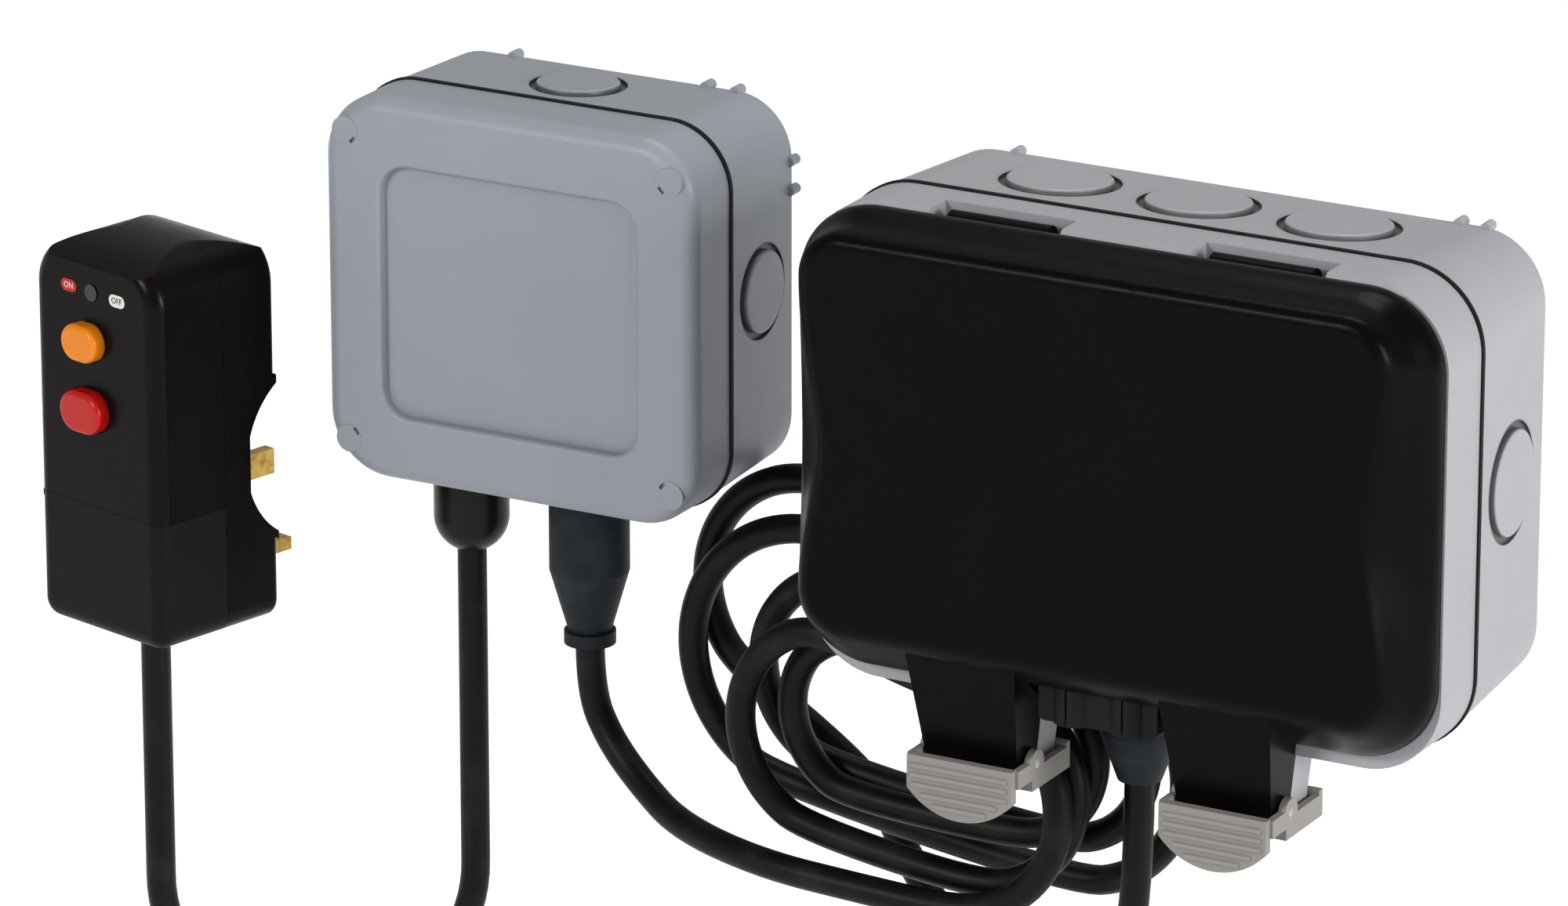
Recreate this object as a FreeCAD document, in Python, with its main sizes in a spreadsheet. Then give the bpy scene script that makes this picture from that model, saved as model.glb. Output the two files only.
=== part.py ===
import FreeCAD, Part
import math
import os
import re

import Sketcher

# Outdoor power kit: a plug with residual current protection, a junction box and a weatherproof
# double socket, joined by two cables. Millimetres, +X right, +Z up, the wall is the plane y = 0
# and the fronts face -Y. The origin is the centre of the double socket's wall fixing holes.

Vector = FreeCAD.Vector
Placement = FreeCAD.Placement
Rotation = FreeCAD.Rotation

doc = FreeCAD.newDocument("rcd_socket_kit")

# Driving dimensions
SIZES = [
    ("twin_width", 203.0),
    ("twin_height", 144.0),
    ("twin_corner", 24.0),
    ("twin_box_front", 52.0),
    ("twin_draft", 4.1),
    ("shell_wall", 2.8),
    ("foot_height", 2.5),
    ("foot_radius", 5.0),
    ("fixing_hole_radius", 2.25),
    ("twin_fixing_across", 140.0),
    ("twin_fixing_up", 88.0),
    ("peg_radius", 1.6),
    ("seal_thick", 1.5),
    ("seal_proud", 0.6),
    ("seal_land", 6.0),
    ("frame_front", 75.0),
    ("frame_face", 3.0),
    ("knock_groove_radius", 17.9),
    ("knock_disc_radius", 15.7),
    ("knock_pitch", 44.5),
    ("knock_out", 27.0),
    ("knock_raise", 1.3),
    ("groove_deep", 1.0),
    ("lid_gap", 0.5),
    ("lid_front", 98.0),
    ("lid_wall", 2.5),
    ("lid_margin", 0.5),
    ("lid_low_margin", 4.5),
    ("lid_crease_half", 92.0),
    ("lid_crease_top", 67.5),
    ("lid_crease_bottom", -53.5),
    ("lid_waist", 5.5),
    ("leg_pitch", 81.0),
    ("leg_root_half", 18.0),
    ("leg_tip_half", 14.5),
    ("leg_root_level", -50.0),
    ("leg_tip_level", -92.0),
    ("leg_root_front", 96.5),
    ("leg_tip_front", 86.5),
    ("frame_leg_back", 63.5),
    ("frame_leg_half", 14.0),
    ("hinge_out", 69.5),
    ("hinge_level", 67.0),
    ("hinge_pitch", 83.0),
    ("hinge_pocket_half", 21.0),
    ("knuckle_half", 16.0),
    ("knuckle_radius", 4.4),
    ("hinge_pin_radius", 1.5),
    ("running_gap", 0.05),
    ("seat_gap", 0.02),
    ("part_gap", 0.3),
    ("latch_out", 81.0),
    ("latch_level", -87.0),
    ("latch_pin_radius", 1.4),
    ("latch_boss_radius", 4.2),
    ("latch_cheek", 2.2),
    ("latch_side_gap", 1.3),
    ("latch_play", 0.85),
    ("latch_swing", 28.0),
    ("latch_hook_rise", 5.5),
    ("latch_sill", 2.4),
    ("paddle_half", 17.0),
    ("paddle_back", 92.3),
    ("paddle_thick", 2.9),
    ("paddle_top", -85.5),
    ("paddle_side", 10.0),
    ("paddle_drop", 18.0),
    ("plate_width", 147.0),
    ("plate_height", 87.0),
    ("plate_thick", 8.0),
    ("plate_level", 4.0),
    ("outlet_pitch", 76.0),
    ("outlet_level", -6.0),
    ("rocker_width", 12.0),
    ("rocker_height", 20.0),
    ("rocker_level", 31.0),
    ("rocker_across", 21.0),
    ("rocker_pin_radius", 1.3),
    ("rocker_pin_reach", 0.9),
    ("pin_rise", 22.2),
    ("pin_half_pitch", 11.1),
    ("earth_pin_wide", 3.96),
    ("earth_pin_tall", 7.92),
    ("earth_pin_long", 22.7),
    ("line_pin_wide", 6.35),
    ("line_pin_tall", 3.96),
    ("line_pin_long", 17.7),
    ("slot_gap", 0.6),
    ("contact_length", 12.0),
    ("contact_wall", 1.0),
    ("housing_back", 44.0),
    ("shutter_travel", 6.0),
    ("plate_screw_half_pitch", 60.3),
    ("screw_radius", 1.7),
    ("screw_head_radius", 3.4),
    ("twin_gland_across", -11.0),
    ("twin_gland_out", 38.0),
    ("jb_width", 126.0),
    ("jb_height", 119.0),
    ("jb_corner", 20.0),
    ("jb_across", -207.5),
    ("jb_up", 16.0),
    ("jb_box_front", 42.0),
    ("jb_front", 65.0),
    ("jb_draft", 2.4),
    ("jb_edge_round", 5.0),
    ("jb_panel_width", 87.0),
    ("jb_panel_height", 78.0),
    ("jb_panel_corner", 9.0),
    ("jb_panel_deep", 3.5),
    ("jb_cap_across", 55.0),
    ("jb_cap_up", 48.0),
    ("jb_cap_radius", 4.3),
    ("jb_fixing_across", 84.0),
    ("jb_fixing_up", 76.0),
    ("jb_knock_groove", 14.6),
    ("jb_knock_disc", 12.6),
    ("jb_gland_left", -36.0),
    ("jb_gland_right", 5.0),
    ("jb_gland_out", 26.0),
    ("gland_hole_radius", 9.8),
    ("gland_stem_radius", 9.7),
    ("boot_radius", 12.2),
    ("boot_tip_radius", 6.6),
    ("dome_radius", 11.5),
    ("dome_long", 21.0),
    ("dome_mouth", 9.5),
    ("twin_boot_shoulder", 16.0),
    ("twin_boot_long", 31.5),
    ("jb_boot_shoulder", 31.5),
    ("jb_boot_long", 51.0),
    ("boot_collar", 4.0),
    ("cable_radius", 4.5),
    ("cable_bore_gap", 0.05),
    ("plug_across", -314.8),
    ("plug_out", -60.0),
    ("plug_up", -32.7),
    ("plug_turn", -15.0),
    ("plug_width", 54.0),
    ("plug_height", 121.0),
    ("plug_front", 46.0),
    ("plug_back", 2.5),
    ("plug_seam", 19.0),
    ("plug_cable_out", 24.0),
    ("plug_cover_top", -20.2),
    ("plug_wall", 2.2),
    ("plug_crown", 15.0),
    ("plug_chin", 6.0),
    ("plug_edge", 5.0),
    ("scallop_radius", 28.3),
    ("scallop_out", 18.3),
    ("scallop_level", -9.5),
    ("scallop_deep", 12.0),
    ("earth_pin_level", -22.0),
    ("button_across", -3.0),
    ("reset_level", 31.6),
    ("test_level", 10.0),
    ("reset_wide", 15.0),
    ("reset_tall", 11.5),
    ("test_wide", 17.5),
    ("test_tall", 13.0),
    ("button_proud", 4.5),
    ("button_travel", 2.5),
    ("lens_level", 47.3),
    ("lens_radius", 2.6),
    ("flag_travel", 5.0),
    ("coil_corner", 30.0),
    ("coil_clearance", 3.0),
    ("coil_front_out", 55.2),
    ("coil_back_out", 5.6),
    ("coil_tail", 12.0),
    ("coil_leave", 25.0),
]

sheet = doc.addObject("Spreadsheet::Sheet", "Sizes")
for row, (alias, number) in enumerate(SIZES, start=1):
    sheet.set("A%d" % row, alias)
    sheet.set("B%d" % row, str(number))
    sheet.setAlias("B%d" % row, alias)
doc.recompute()

size = {alias: float(sheet.get(alias)) for alias, _ in SIZES}
ALIAS = re.compile(r"\b(%s)\b" % "|".join(alias for alias, _ in SIZES))
FLAT_UP = Rotation(Vector(1, 0, 0), -90)
ACROSS = Rotation(Vector(0, 1, 0), 90)
PIECES = []


def bind(item, prop, text):
    item.setExpression(prop, ALIAS.sub(r"Sizes.\1", text))


def bind_base(item, x, y, z):
    bind(item, "Placement.Base.x", x)
    bind(item, "Placement.Base.y", y)
    bind(item, "Placement.Base.z", z)


def block(name, x, y, z):
    """A box between the low and high expressions of each axis."""
    item = doc.addObject("Part::Box", name)
    for prop, (low, high) in zip(("Length", "Width", "Height"), (x, y, z)):
        bind(item, prop, "(%s) - (%s)" % (high, low))
    bind_base(item, x[0], y[0], z[0])
    return item


def rod(name, axis, radius, low, high, first, second):
    """A cylinder along x, y or z from low to high, its axis at the other two coordinates."""
    item = doc.addObject("Part::Cylinder", name)
    bind(item, "Radius", radius)
    bind(item, "Height", "(%s) - (%s)" % (high, low))
    if axis == "x":
        item.Placement = Placement(Vector(), ACROSS)
        bind_base(item, low, first, second)
    elif axis == "y":
        item.Placement = Placement(Vector(), FLAT_UP)
        bind_base(item, first, low, second)
    else:
        bind_base(item, first, second, low)
    return item


def cone(name, radius_low, radius_high, low, high, x, y):
    """A cone along z."""
    item = doc.addObject("Part::Cone", name)
    bind(item, "Radius1", radius_low)
    bind(item, "Radius2", radius_high)
    bind(item, "Height", "(%s) - (%s)" % (high, low))
    bind_base(item, x, y, low)
    return item


def wedge(name, x, low, high, low_half, high_half, low_out, high_out):
    """A tapered block from level low to high, centred on x; out is a pair of distances from the wall."""
    item = doc.addObject("Part::Wedge", name)
    item.Placement = Placement(Vector(), Rotation(Vector(1, 0, 0), 90))
    bind(item, "Ymin", low)
    bind(item, "Ymax", high)
    bind(item, "Xmin", "-(%s)" % low_half)
    bind(item, "Xmax", low_half)
    bind(item, "X2min", "-(%s)" % high_half)
    bind(item, "X2max", high_half)
    bind(item, "Zmin", low_out[0])
    bind(item, "Zmax", low_out[1])
    bind(item, "Z2min", high_out[0])
    bind(item, "Z2max", high_out[1])
    bind(item, "Placement.Base.x", x)
    return item


def join(name, *parts):
    item = doc.addObject("Part::MultiFuse", name)
    item.Shapes = list(parts)
    return item


def minus(name, base, *tools):
    item = doc.addObject("Part::Cut", name)
    item.Base = base
    item.Tool = tools[0] if len(tools) == 1 else join(name + "_tools", *tools)
    return item


def both(name, first, second):
    item = doc.addObject("Part::Common", name)
    item.Base = first
    item.Tool = second
    return item


def group(name, *parts):
    item = doc.addObject("Part::Compound", name)
    item.Links = list(parts)
    return item


def soften(name, base, radius, wanted):
    """Round the edges of base that the function wanted picks."""
    doc.recompute()
    item = doc.addObject("Part::Fillet", name)
    item.Base = base
    item.Edges = [(i, radius, radius) for i, edge in enumerate(base.Shape.Edges, 1) if wanted(edge)]
    return item


def along(edge, axis):
    """True where a straight edge runs along the axis 0, 1 or 2."""
    if edge.Curve.TypeId != "Part::GeomLine":
        return False
    return abs(abs(edge.tangentAt(edge.FirstParameter)[axis]) - 1) < 1e-6


def face_edge(edge, axis, value):
    """True where the whole edge lies at one value of the axis."""
    low = (edge.BoundBox.XMin, edge.BoundBox.YMin, edge.BoundBox.ZMin)[axis]
    high = (edge.BoundBox.XMax, edge.BoundBox.YMax, edge.BoundBox.ZMax)[axis]
    return abs(low - value) < 0.02 and abs(high - value) < 0.02


def rounded_box(name, x, y, z, radius):
    """A box with its four edges along y rounded."""
    return soften(name, block(name + "_block", x, y, z), radius, lambda edge: along(edge, 1))


def raw(name, shape):
    item = doc.addObject("Part::Feature", name)
    item.Shape = shape
    return item


def keep(item, label, unit=None):
    """Register a finished piece; unit places it with its housing."""
    item.Label = label
    if unit == "junction box":
        bind_base(item, "jb_across", "0", "jb_up")
    elif unit == "plug":
        item.Placement = Placement(Vector(), Rotation(Vector(0, 0, 1), size["plug_turn"]))
        bind(item, "Placement.Rotation.Angle", "plug_turn * 1 deg")
        bind_base(item, "plug_across", "plug_out", "plug_up")
    PIECES.append(item)
    return item


# PartDesign helpers: rounded rectangles drawn on the body's own front plane


def new_body(name):
    return doc.addObject("PartDesign::Body", name)


def front_sketch(body, name, out):
    """A sketch parallel to the wall at a distance out in front of it."""
    plane = [f for f in body.Origin.OriginFeatures if f.Role == "XZ_Plane"][0]
    sketch = body.newObject("Sketcher::SketchObject", name)
    sketch.AttachmentSupport = (plane, [""])
    sketch.MapMode = "FlatFace"
    bind(sketch, "AttachmentOffset.Base.z", out)
    return sketch


def rounded_rectangle(body, name, out, width, height, radius):
    """A fully constrained rounded rectangle about the sketch's origin."""
    sketch = front_sketch(body, name, out)
    a, b, r = 40.0, 30.0, 8.0
    corners = [(a - r, -b + r), (a - r, b - r), (-a + r, b - r), (-a + r, -b + r)]
    lines = [((-a + r, -b), (a - r, -b)), ((a, -b + r), (a, b - r)), ((a - r, b), (-a + r, b)), ((-a, b - r), (-a, -b + r))]
    for start, end in lines:
        sketch.addGeometry(Part.LineSegment(Vector(*start, 0), Vector(*end, 0)))
    for index, (cx, cy) in enumerate(corners):
        circle = Part.Circle(Vector(cx, cy, 0), Vector(0, 0, 1), r)
        first = math.radians(-90 + 90 * index)
        sketch.addGeometry(Part.ArcOfCircle(circle, first, first + math.pi / 2))
    for index in range(4):
        sketch.addConstraint(Sketcher.Constraint("Tangent", index, 2, 4 + index, 1))
        sketch.addConstraint(Sketcher.Constraint("Tangent", 4 + index, 2, (index + 1) % 4, 1))
    for line, way in ((0, "Horizontal"), (1, "Vertical"), (2, "Horizontal"), (3, "Vertical")):
        sketch.addConstraint(Sketcher.Constraint(way, line))
    for arc in (5, 6, 7):
        sketch.addConstraint(Sketcher.Constraint("Equal", 4, arc))
    sketch.addConstraint(Sketcher.Constraint("Symmetric", 4, 3, 6, 3, -1, 1))
    for kind, args, text in (
        ("Radius", (4, r), radius),
        ("DistanceX", (3, 1, 1, 1, 2 * a), width),
        ("DistanceY", (0, 1, 2, 1, 2 * b), height),
    ):
        index = sketch.addConstraint(Sketcher.Constraint(kind, *args))
        bind(sketch, "Constraints[%d]" % index, text)
    return sketch


def circles(body, name, out, radius, places):
    """Circles of one radius; places holds pairs of expressions for their centres."""
    sketch = front_sketch(body, name, out)
    for index, (x, z) in enumerate(places):
        sketch.addGeometry(Part.Circle(Vector(5 + 10 * index, 5, 0), Vector(0, 0, 1), 1))
        number = sketch.addConstraint(Sketcher.Constraint("Radius", index, 1))
        bind(sketch, "Constraints[%d]" % number, radius)
        for kind, text in (("DistanceX", x), ("DistanceY", z)):
            number = sketch.addConstraint(Sketcher.Constraint(kind, -1, 1, index, 3, 5))
            bind(sketch, "Constraints[%d]" % number, text)
    return sketch


def pad(body, sketch, length, to_front, taper=None):
    item = body.newObject("PartDesign::Pad", sketch.Name + "_pad")
    item.Profile = sketch
    item.Reversed = not to_front
    bind(item, "Length", length)
    if taper:
        bind(item, "TaperAngle", "-(%s)" % taper)
    sketch.Visibility = False
    return item


def pocket(body, sketch, length, to_front, taper=None):
    """A pocket; the volume is compared to make sure that it cuts."""
    doc.recompute()
    before = body.Shape.Volume
    item = body.newObject("PartDesign::Pocket", sketch.Name + "_pocket")
    item.Profile = sketch
    item.Reversed = to_front
    bind(item, "Length", length)
    if taper:
        bind(item, "TaperAngle", "-(%s)" % taper)
    doc.recompute()
    if body.Shape.Volume > before - 1e-3:
        raise ValueError(item.Name + " cuts nothing")
    return item


SIGNS = [(sx, sz) for sx in (1, -1) for sz in (1, -1)]


def four(across, up):
    return [("%d * (%s)" % (sx, across), "%d * (%s)" % (sz, up)) for sx, sz in SIGNS]


def wall_box(name, width, height, corner, front, draft, fixing, holes, bosses, boss_radius, glands, seat):
    """A drafted back box: hollow, on feet around its wall fixing holes, with flat seats at its glands."""
    body = new_body(name)
    outer = rounded_rectangle(body, name + "_outer", front, width, height, corner)
    pad(body, outer, "%s - foot_height" % front, False, draft)
    inner = rounded_rectangle(body, name + "_inner", front, "%s - 2 * shell_wall" % width,
                              "%s - 2 * shell_wall" % height, "%s - shell_wall" % corner)
    pocket(body, inner, "%s - foot_height - shell_wall" % front, False, draft)
    feet = circles(body, name + "_feet", "0", "foot_radius", four(*fixing))
    pad(body, feet, "foot_height + shell_wall + 1.5", True)
    posts = circles(body, name + "_posts", front, boss_radius, four(*bosses))
    pad(body, posts, "%s - foot_height" % front, False)
    screws = circles(body, name + "_screw_holes", front, "screw_radius + seat_gap", four(*bosses))
    pocket(body, screws, "22", False)
    fixings = circles(body, name + "_fixing_holes", "0", "fixing_hole_radius", four(*fixing))
    pocket(body, fixings, "12", True)
    seats = [rod("%s_seat_%d" % (name, i), "z", "boot_radius + 0.6", seat[1], seat[0], x, out)
             for i, (x, out) in enumerate(glands)]
    ways = [rod("%s_gland_way_%d" % (name, i), "z", "gland_hole_radius", "%s - 4" % seat[1], "%s + 4" % seat[0], x, out)
            for i, (x, out) in enumerate(glands)]
    return minus(name + "_holed", join(name + "_seated", body, *seats), *(holes + ways))


def seal_ring(label, width, height, corner, front, bosses, unit=None):
    body = new_body(label + "_body")
    outer = rounded_rectangle(body, label + "_outer", front, "%s + 2 * seal_proud" % width,
                              "%s + 2 * seal_proud" % height, "%s + seal_proud" % corner)
    pad(body, outer, "seal_thick", True)
    inner = rounded_rectangle(body, label + "_inner", front, "%s - 2 * seal_land" % width,
                              "%s - 2 * seal_land" % height, "%s - seal_land" % corner)
    pocket(body, inner, "seal_thick + 1", True)
    if bosses:
        around = circles(body, label + "_boss_holes", front, "screw_radius + 2", four(*bosses))
        pocket(body, around, "seal_thick + 1", True)
    return keep(body, label, unit)


def tilted_disc(name, radius, low, high, turn_axis, turn, x, y, z):
    """A disc standing on a drafted side, from low to high along its own axis."""
    item = doc.addObject("Part::Cylinder", name)
    bind(item, "Radius", radius)
    bind(item, "Height", "(%s) - (%s)" % (high, low))
    way = Rotation(turn_axis, turn)
    item.Placement = Placement(Vector(), way)
    up = way.multVec(Vector(0, 0, 1))
    bind_base(item, "%s + (%.6f) * (%s)" % (x, up.x, low), "%s + (%.6f) * (%s)" % (y, up.y, low),
              "%s + (%.6f) * (%s)" % (z, up.z, low))
    return item


def knock_out(name, side, draft, half, front, out, offset, groove, disc):
    """A groove ring and a raised disc on the top, bottom, left or right of a drafted box."""
    slope = math.tan(math.radians(size[draft]))
    inward = "(%s) * %.6f" % ("%s - %s" % (front, out), slope)
    reach = "(%s) / 2 - %s" % (half, inward)
    turns = {
        "top": (Vector(1, 0, 0), -size[draft], offset, "-(%s)" % out, reach),
        "bottom": (Vector(1, 0, 0), 180 + size[draft], offset, "-(%s)" % out, "-(%s)" % reach),
        "right": (Vector(0, 0, 1), 0, reach, "-(%s)" % out, offset),
        "left": (Vector(0, 0, 1), 0, "-(%s)" % reach, "-(%s)" % out, offset),
    }
    axis, turn, x, y, z = turns[side]
    if side in ("right", "left"):
        way = Rotation(Vector(0, 0, 1), size[draft]) if side == "right" else Rotation(Vector(0, 0, 1), -size[draft])
        spin = way.multiply(Rotation(Vector(0, 1, 0), 90 if side == "right" else -90))
        axis, turn = spin.Axis, math.degrees(spin.Angle)
    ring = minus(name + "_ring", tilted_disc(name + "_ring_out", groove, "-groove_deep", "2", axis, turn, x, y, z),
                 tilted_disc(name + "_ring_in", disc, "-groove_deep - 1", "3", axis, turn, x, y, z))
    raised = tilted_disc(name + "_raised", disc, "-groove_deep", "knock_raise", axis, turn, x, y, z)
    doc.recompute()
    top = max(raised.Shape.Edges, key=lambda e: (e.Curve.TypeId == "Part::GeomCircle",
                                                 e.CenterOfMass.dot(raised.Placement.Rotation.multVec(Vector(0, 0, 1)))))
    rounded = soften(name + "_rounded", raised, 0.9, lambda edge: edge.isSame(top))
    return ring, rounded


def pegs(name, places, radius, front):
    """Small locating pegs on the back of a box."""
    return [rod("%s_%d" % (name, i), "y", radius, front, "0", x, z) for i, (x, z) in enumerate(places)]


# Double socket: back box, seal and front frame

TWIN_BOSS = ("twin_width / 2 - 13", "twin_height / 2 - 13")


def make_back_box():
    top_knocks = [knock_out("twin_top_%d" % i, "top", "twin_draft", "twin_height", "twin_box_front", "knock_out",
                            "%d * knock_pitch" % i, "knock_groove_radius", "knock_disc_radius") for i in (-1, 0, 1)]
    side_knocks = [knock_out("twin_%s" % side, side, "twin_draft", "twin_width", "twin_box_front", "knock_out",
                             "2.5", "knock_groove_radius", "knock_disc_radius") for side in ("right", "left")]
    knocks = top_knocks + side_knocks
    holed = wall_box("twin_box", "twin_width", "twin_height", "twin_corner", "twin_box_front", "twin_draft",
                     ("twin_fixing_across / 2", "twin_fixing_up / 2"), [ring for ring, _ in knocks], TWIN_BOSS,
                     "screw_radius + 2.4", [("twin_gland_across", "-twin_gland_out")], TWIN_SEAT)
    marks = pegs("twin_peg", [("twin_width / 2 - 30.5", "twin_height / 2 - 3.4"),
                              ("twin_width / 2 - 22", "twin_height / 2 - 3.4"),
                              ("-twin_width / 2 + 30.5", "twin_height / 2 - 3.4")], "peg_radius", "-foot_height - 2")
    posts = [rod("housing_post_%d" % i, "y", "4", "-housing_back + part_gap", "-foot_height - 1",
                 "%d * plate_screw_half_pitch" % sx, "plate_level") for i, sx in enumerate((1, -1))]
    solid = join("back_box_whole", holed, *([disc for _, disc in knocks] + marks + posts))
    keep(solid, "back_box")


def make_front_frame():
    body = new_body("frame_body")
    outer = rounded_rectangle(body, "frame_outer", "twin_box_front + seal_thick", "twin_width", "twin_height",
                              "twin_corner")
    pad(body, outer, "frame_front - twin_box_front - seal_thick", True)
    inner = rounded_rectangle(body, "frame_inner", "twin_box_front + seal_thick", "twin_width - 2 * shell_wall",
                              "twin_height - 2 * shell_wall", "twin_corner - shell_wall")
    pocket(body, inner, "frame_front - frame_face - twin_box_front - seal_thick", True)
    bosses = circles(body, "frame_bosses", "twin_box_front + seal_thick", "screw_radius + 2.4", four(*TWIN_BOSS))
    pad(body, bosses, "frame_front - twin_box_front - seal_thick - 1", True)
    screws = circles(body, "frame_screw_holes", "twin_box_front + seal_thick", "screw_radius + seat_gap", four(*TWIN_BOSS))
    pocket(body, screws, "40", True)
    heads = circles(body, "frame_screw_sinks", "frame_front", "screw_head_radius + seat_gap", four(*TWIN_BOSS))
    pocket(body, heads, "2.5", False)
    window = block("frame_window", ("-plate_width / 2 - part_gap", "plate_width / 2 + part_gap"),
                   ("-frame_front - 5", "-frame_front + frame_face + 5"),
                   ("plate_level - plate_height / 2 - part_gap", "plate_level + plate_height / 2 + part_gap"))
    legs = [wedge("frame_leg_%d" % i, "%d * leg_pitch / 2" % s, "leg_tip_level", "-twin_height / 2 + 6",
                  "frame_leg_half", "leg_root_half - 1", ("frame_leg_back", "frame_front"),
                  ("frame_leg_back", "frame_front")) for i, s in enumerate((-1, 1))]
    boxes = [block("hinge_housing_%d" % i,
                   ("%d * hinge_pitch / 2 - hinge_pocket_half - 3" % s, "%d * hinge_pitch / 2 + hinge_pocket_half + 3" % s),
                   ("-frame_front", "-hinge_out + 8.5"), ("hinge_level - 8.5", "twin_height / 2 - 1"))
             for i, s in enumerate((-1, 1))]
    pockets = [block("hinge_pocket_%d" % i,
                     ("%d * hinge_pitch / 2 - hinge_pocket_half" % s, "%d * hinge_pitch / 2 + hinge_pocket_half" % s),
                     ("-frame_front - 1", "-hinge_out + 6"), ("hinge_level - 6.5", "twin_height / 2 + 1"))
               for i, s in enumerate((-1, 1))]
    pin_holes = [rod("hinge_pin_hole_%d" % i, "x", "hinge_pin_radius + seat_gap",
                     "%d * hinge_pitch / 2 - hinge_pocket_half - 2" % s,
                     "%d * hinge_pitch / 2 + hinge_pocket_half + 2" % s, "-hinge_out", "hinge_level")
                 for i, s in enumerate((-1, 1))]
    shy = block("frame_top_bevel", ("-twin_width / 2 - 1", "twin_width / 2 + 1"), ("-2.4 / sqrt(2)", "2.4 / sqrt(2)"),
                ("-2.4 / sqrt(2)", "2.4 / sqrt(2)"))
    shy.Placement = Placement(Vector(), Rotation(Vector(1, 0, 0), 45))
    bind_base(shy, "-twin_width / 2 - 1", "-frame_front", "twin_height / 2 - 2.4")
    whole = join("frame_solid", body, *(legs + boxes))
    keep(minus("frame_cut", whole, window, shy, *(pockets + pin_holes)), "front_frame")


# Lid

LID_SECTIONS = [
    # out from the wall, share of the way from rim to crease, share from crease to face, waist share
    ("rim", 0.0, 0.0, 0.0),
    ("side", 0.22, 0.0, 0.3),
    ("shoulder", 0.72, 0.0, 0.85),
    ("crease", 1.0, 0.0, 1.0),
    ("face", 1.0, 1.0, 1.0),
]


def lid_wire(out, half, top, bottom, radius, waist):
    """A closed outline at one distance from the wall: lines, arcs and two waisted sides."""
    def at(x, z):
        return Vector(x, -out, z)

    def corner(cx, cz, first):
        points = [at(cx + radius * math.cos(math.radians(a)), cz + radius * math.sin(math.radians(a)))
                  for a in (first, first + 45, first + 90)]
        return Part.Arc(*points).toShape()

    def side(x, low, high, sign):
        middle = at(x - sign * max(waist, 0.01), low + 0.42 * (high - low))
        ends = [at(x, high), at(x, low)] if sign > 0 else [at(x, low), at(x, high)]
        way = Vector(0, 0, -1) if sign > 0 else Vector(0, 0, 1)
        curve = Part.BSplineCurve()
        curve.interpolate(Points=[ends[0], middle, ends[1]], InitialTangent=way, FinalTangent=way)
        return curve.toShape()

    low, high = bottom + radius, top - radius
    x_in = half - radius
    edges = [
        Part.LineSegment(at(x_in, bottom), at(-x_in, bottom)).toShape(),
        corner(-x_in, low, 180),
        side(-half, low, high, -1),
        corner(-x_in, high, 90),
        Part.LineSegment(at(-x_in, top), at(x_in, top)).toShape(),
        corner(x_in, high, 0),
        side(half, low, high, 1),
        corner(x_in, low, -90),
    ]
    return Part.Wire(Part.__sortEdges__(edges))


def lid_loft(inset):
    """The lid's outer form, or with an inset the hollow inside it."""
    rim_half = size["twin_width"] / 2 - size["lid_margin"]
    rim_rise = size["twin_height"] / 2 - size["lid_margin"]
    rim_drop = size["twin_height"] / 2 - size["lid_low_margin"]
    rim_out = size["frame_front"] + size["lid_gap"]
    crease_out = size["lid_front"] - 1.6
    wires = []
    for name, to_crease, to_face, waist in LID_SECTIONS:
        out = rim_out + (crease_out - rim_out) * {"rim": 0, "side": 0.4, "shoulder": 0.82}.get(name, 1.0)
        if name == "face":
            out = size["lid_front"]
        half = rim_half + (size["lid_crease_half"] - rim_half) * to_crease - 5.0 * to_face
        top = rim_rise + (size["lid_crease_top"] - rim_rise) * to_crease - 5.0 * to_face
        bottom = -rim_drop + (size["lid_crease_bottom"] + rim_drop) * to_crease + 5.0 * to_face
        radius = size["twin_corner"] - 11.0 * to_crease - 4.0 * to_face
        if inset:
            out = rim_out - 1 if name == "rim" else out - inset * (1.0 if name in ("crease", "face") else 0.4)
        wires.append(lid_wire(out, half - inset, top - inset, bottom + inset, radius - 0.6 * inset,
                              size["lid_waist"] * waist))
    return Part.makeLoft(wires, True, False)


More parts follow.
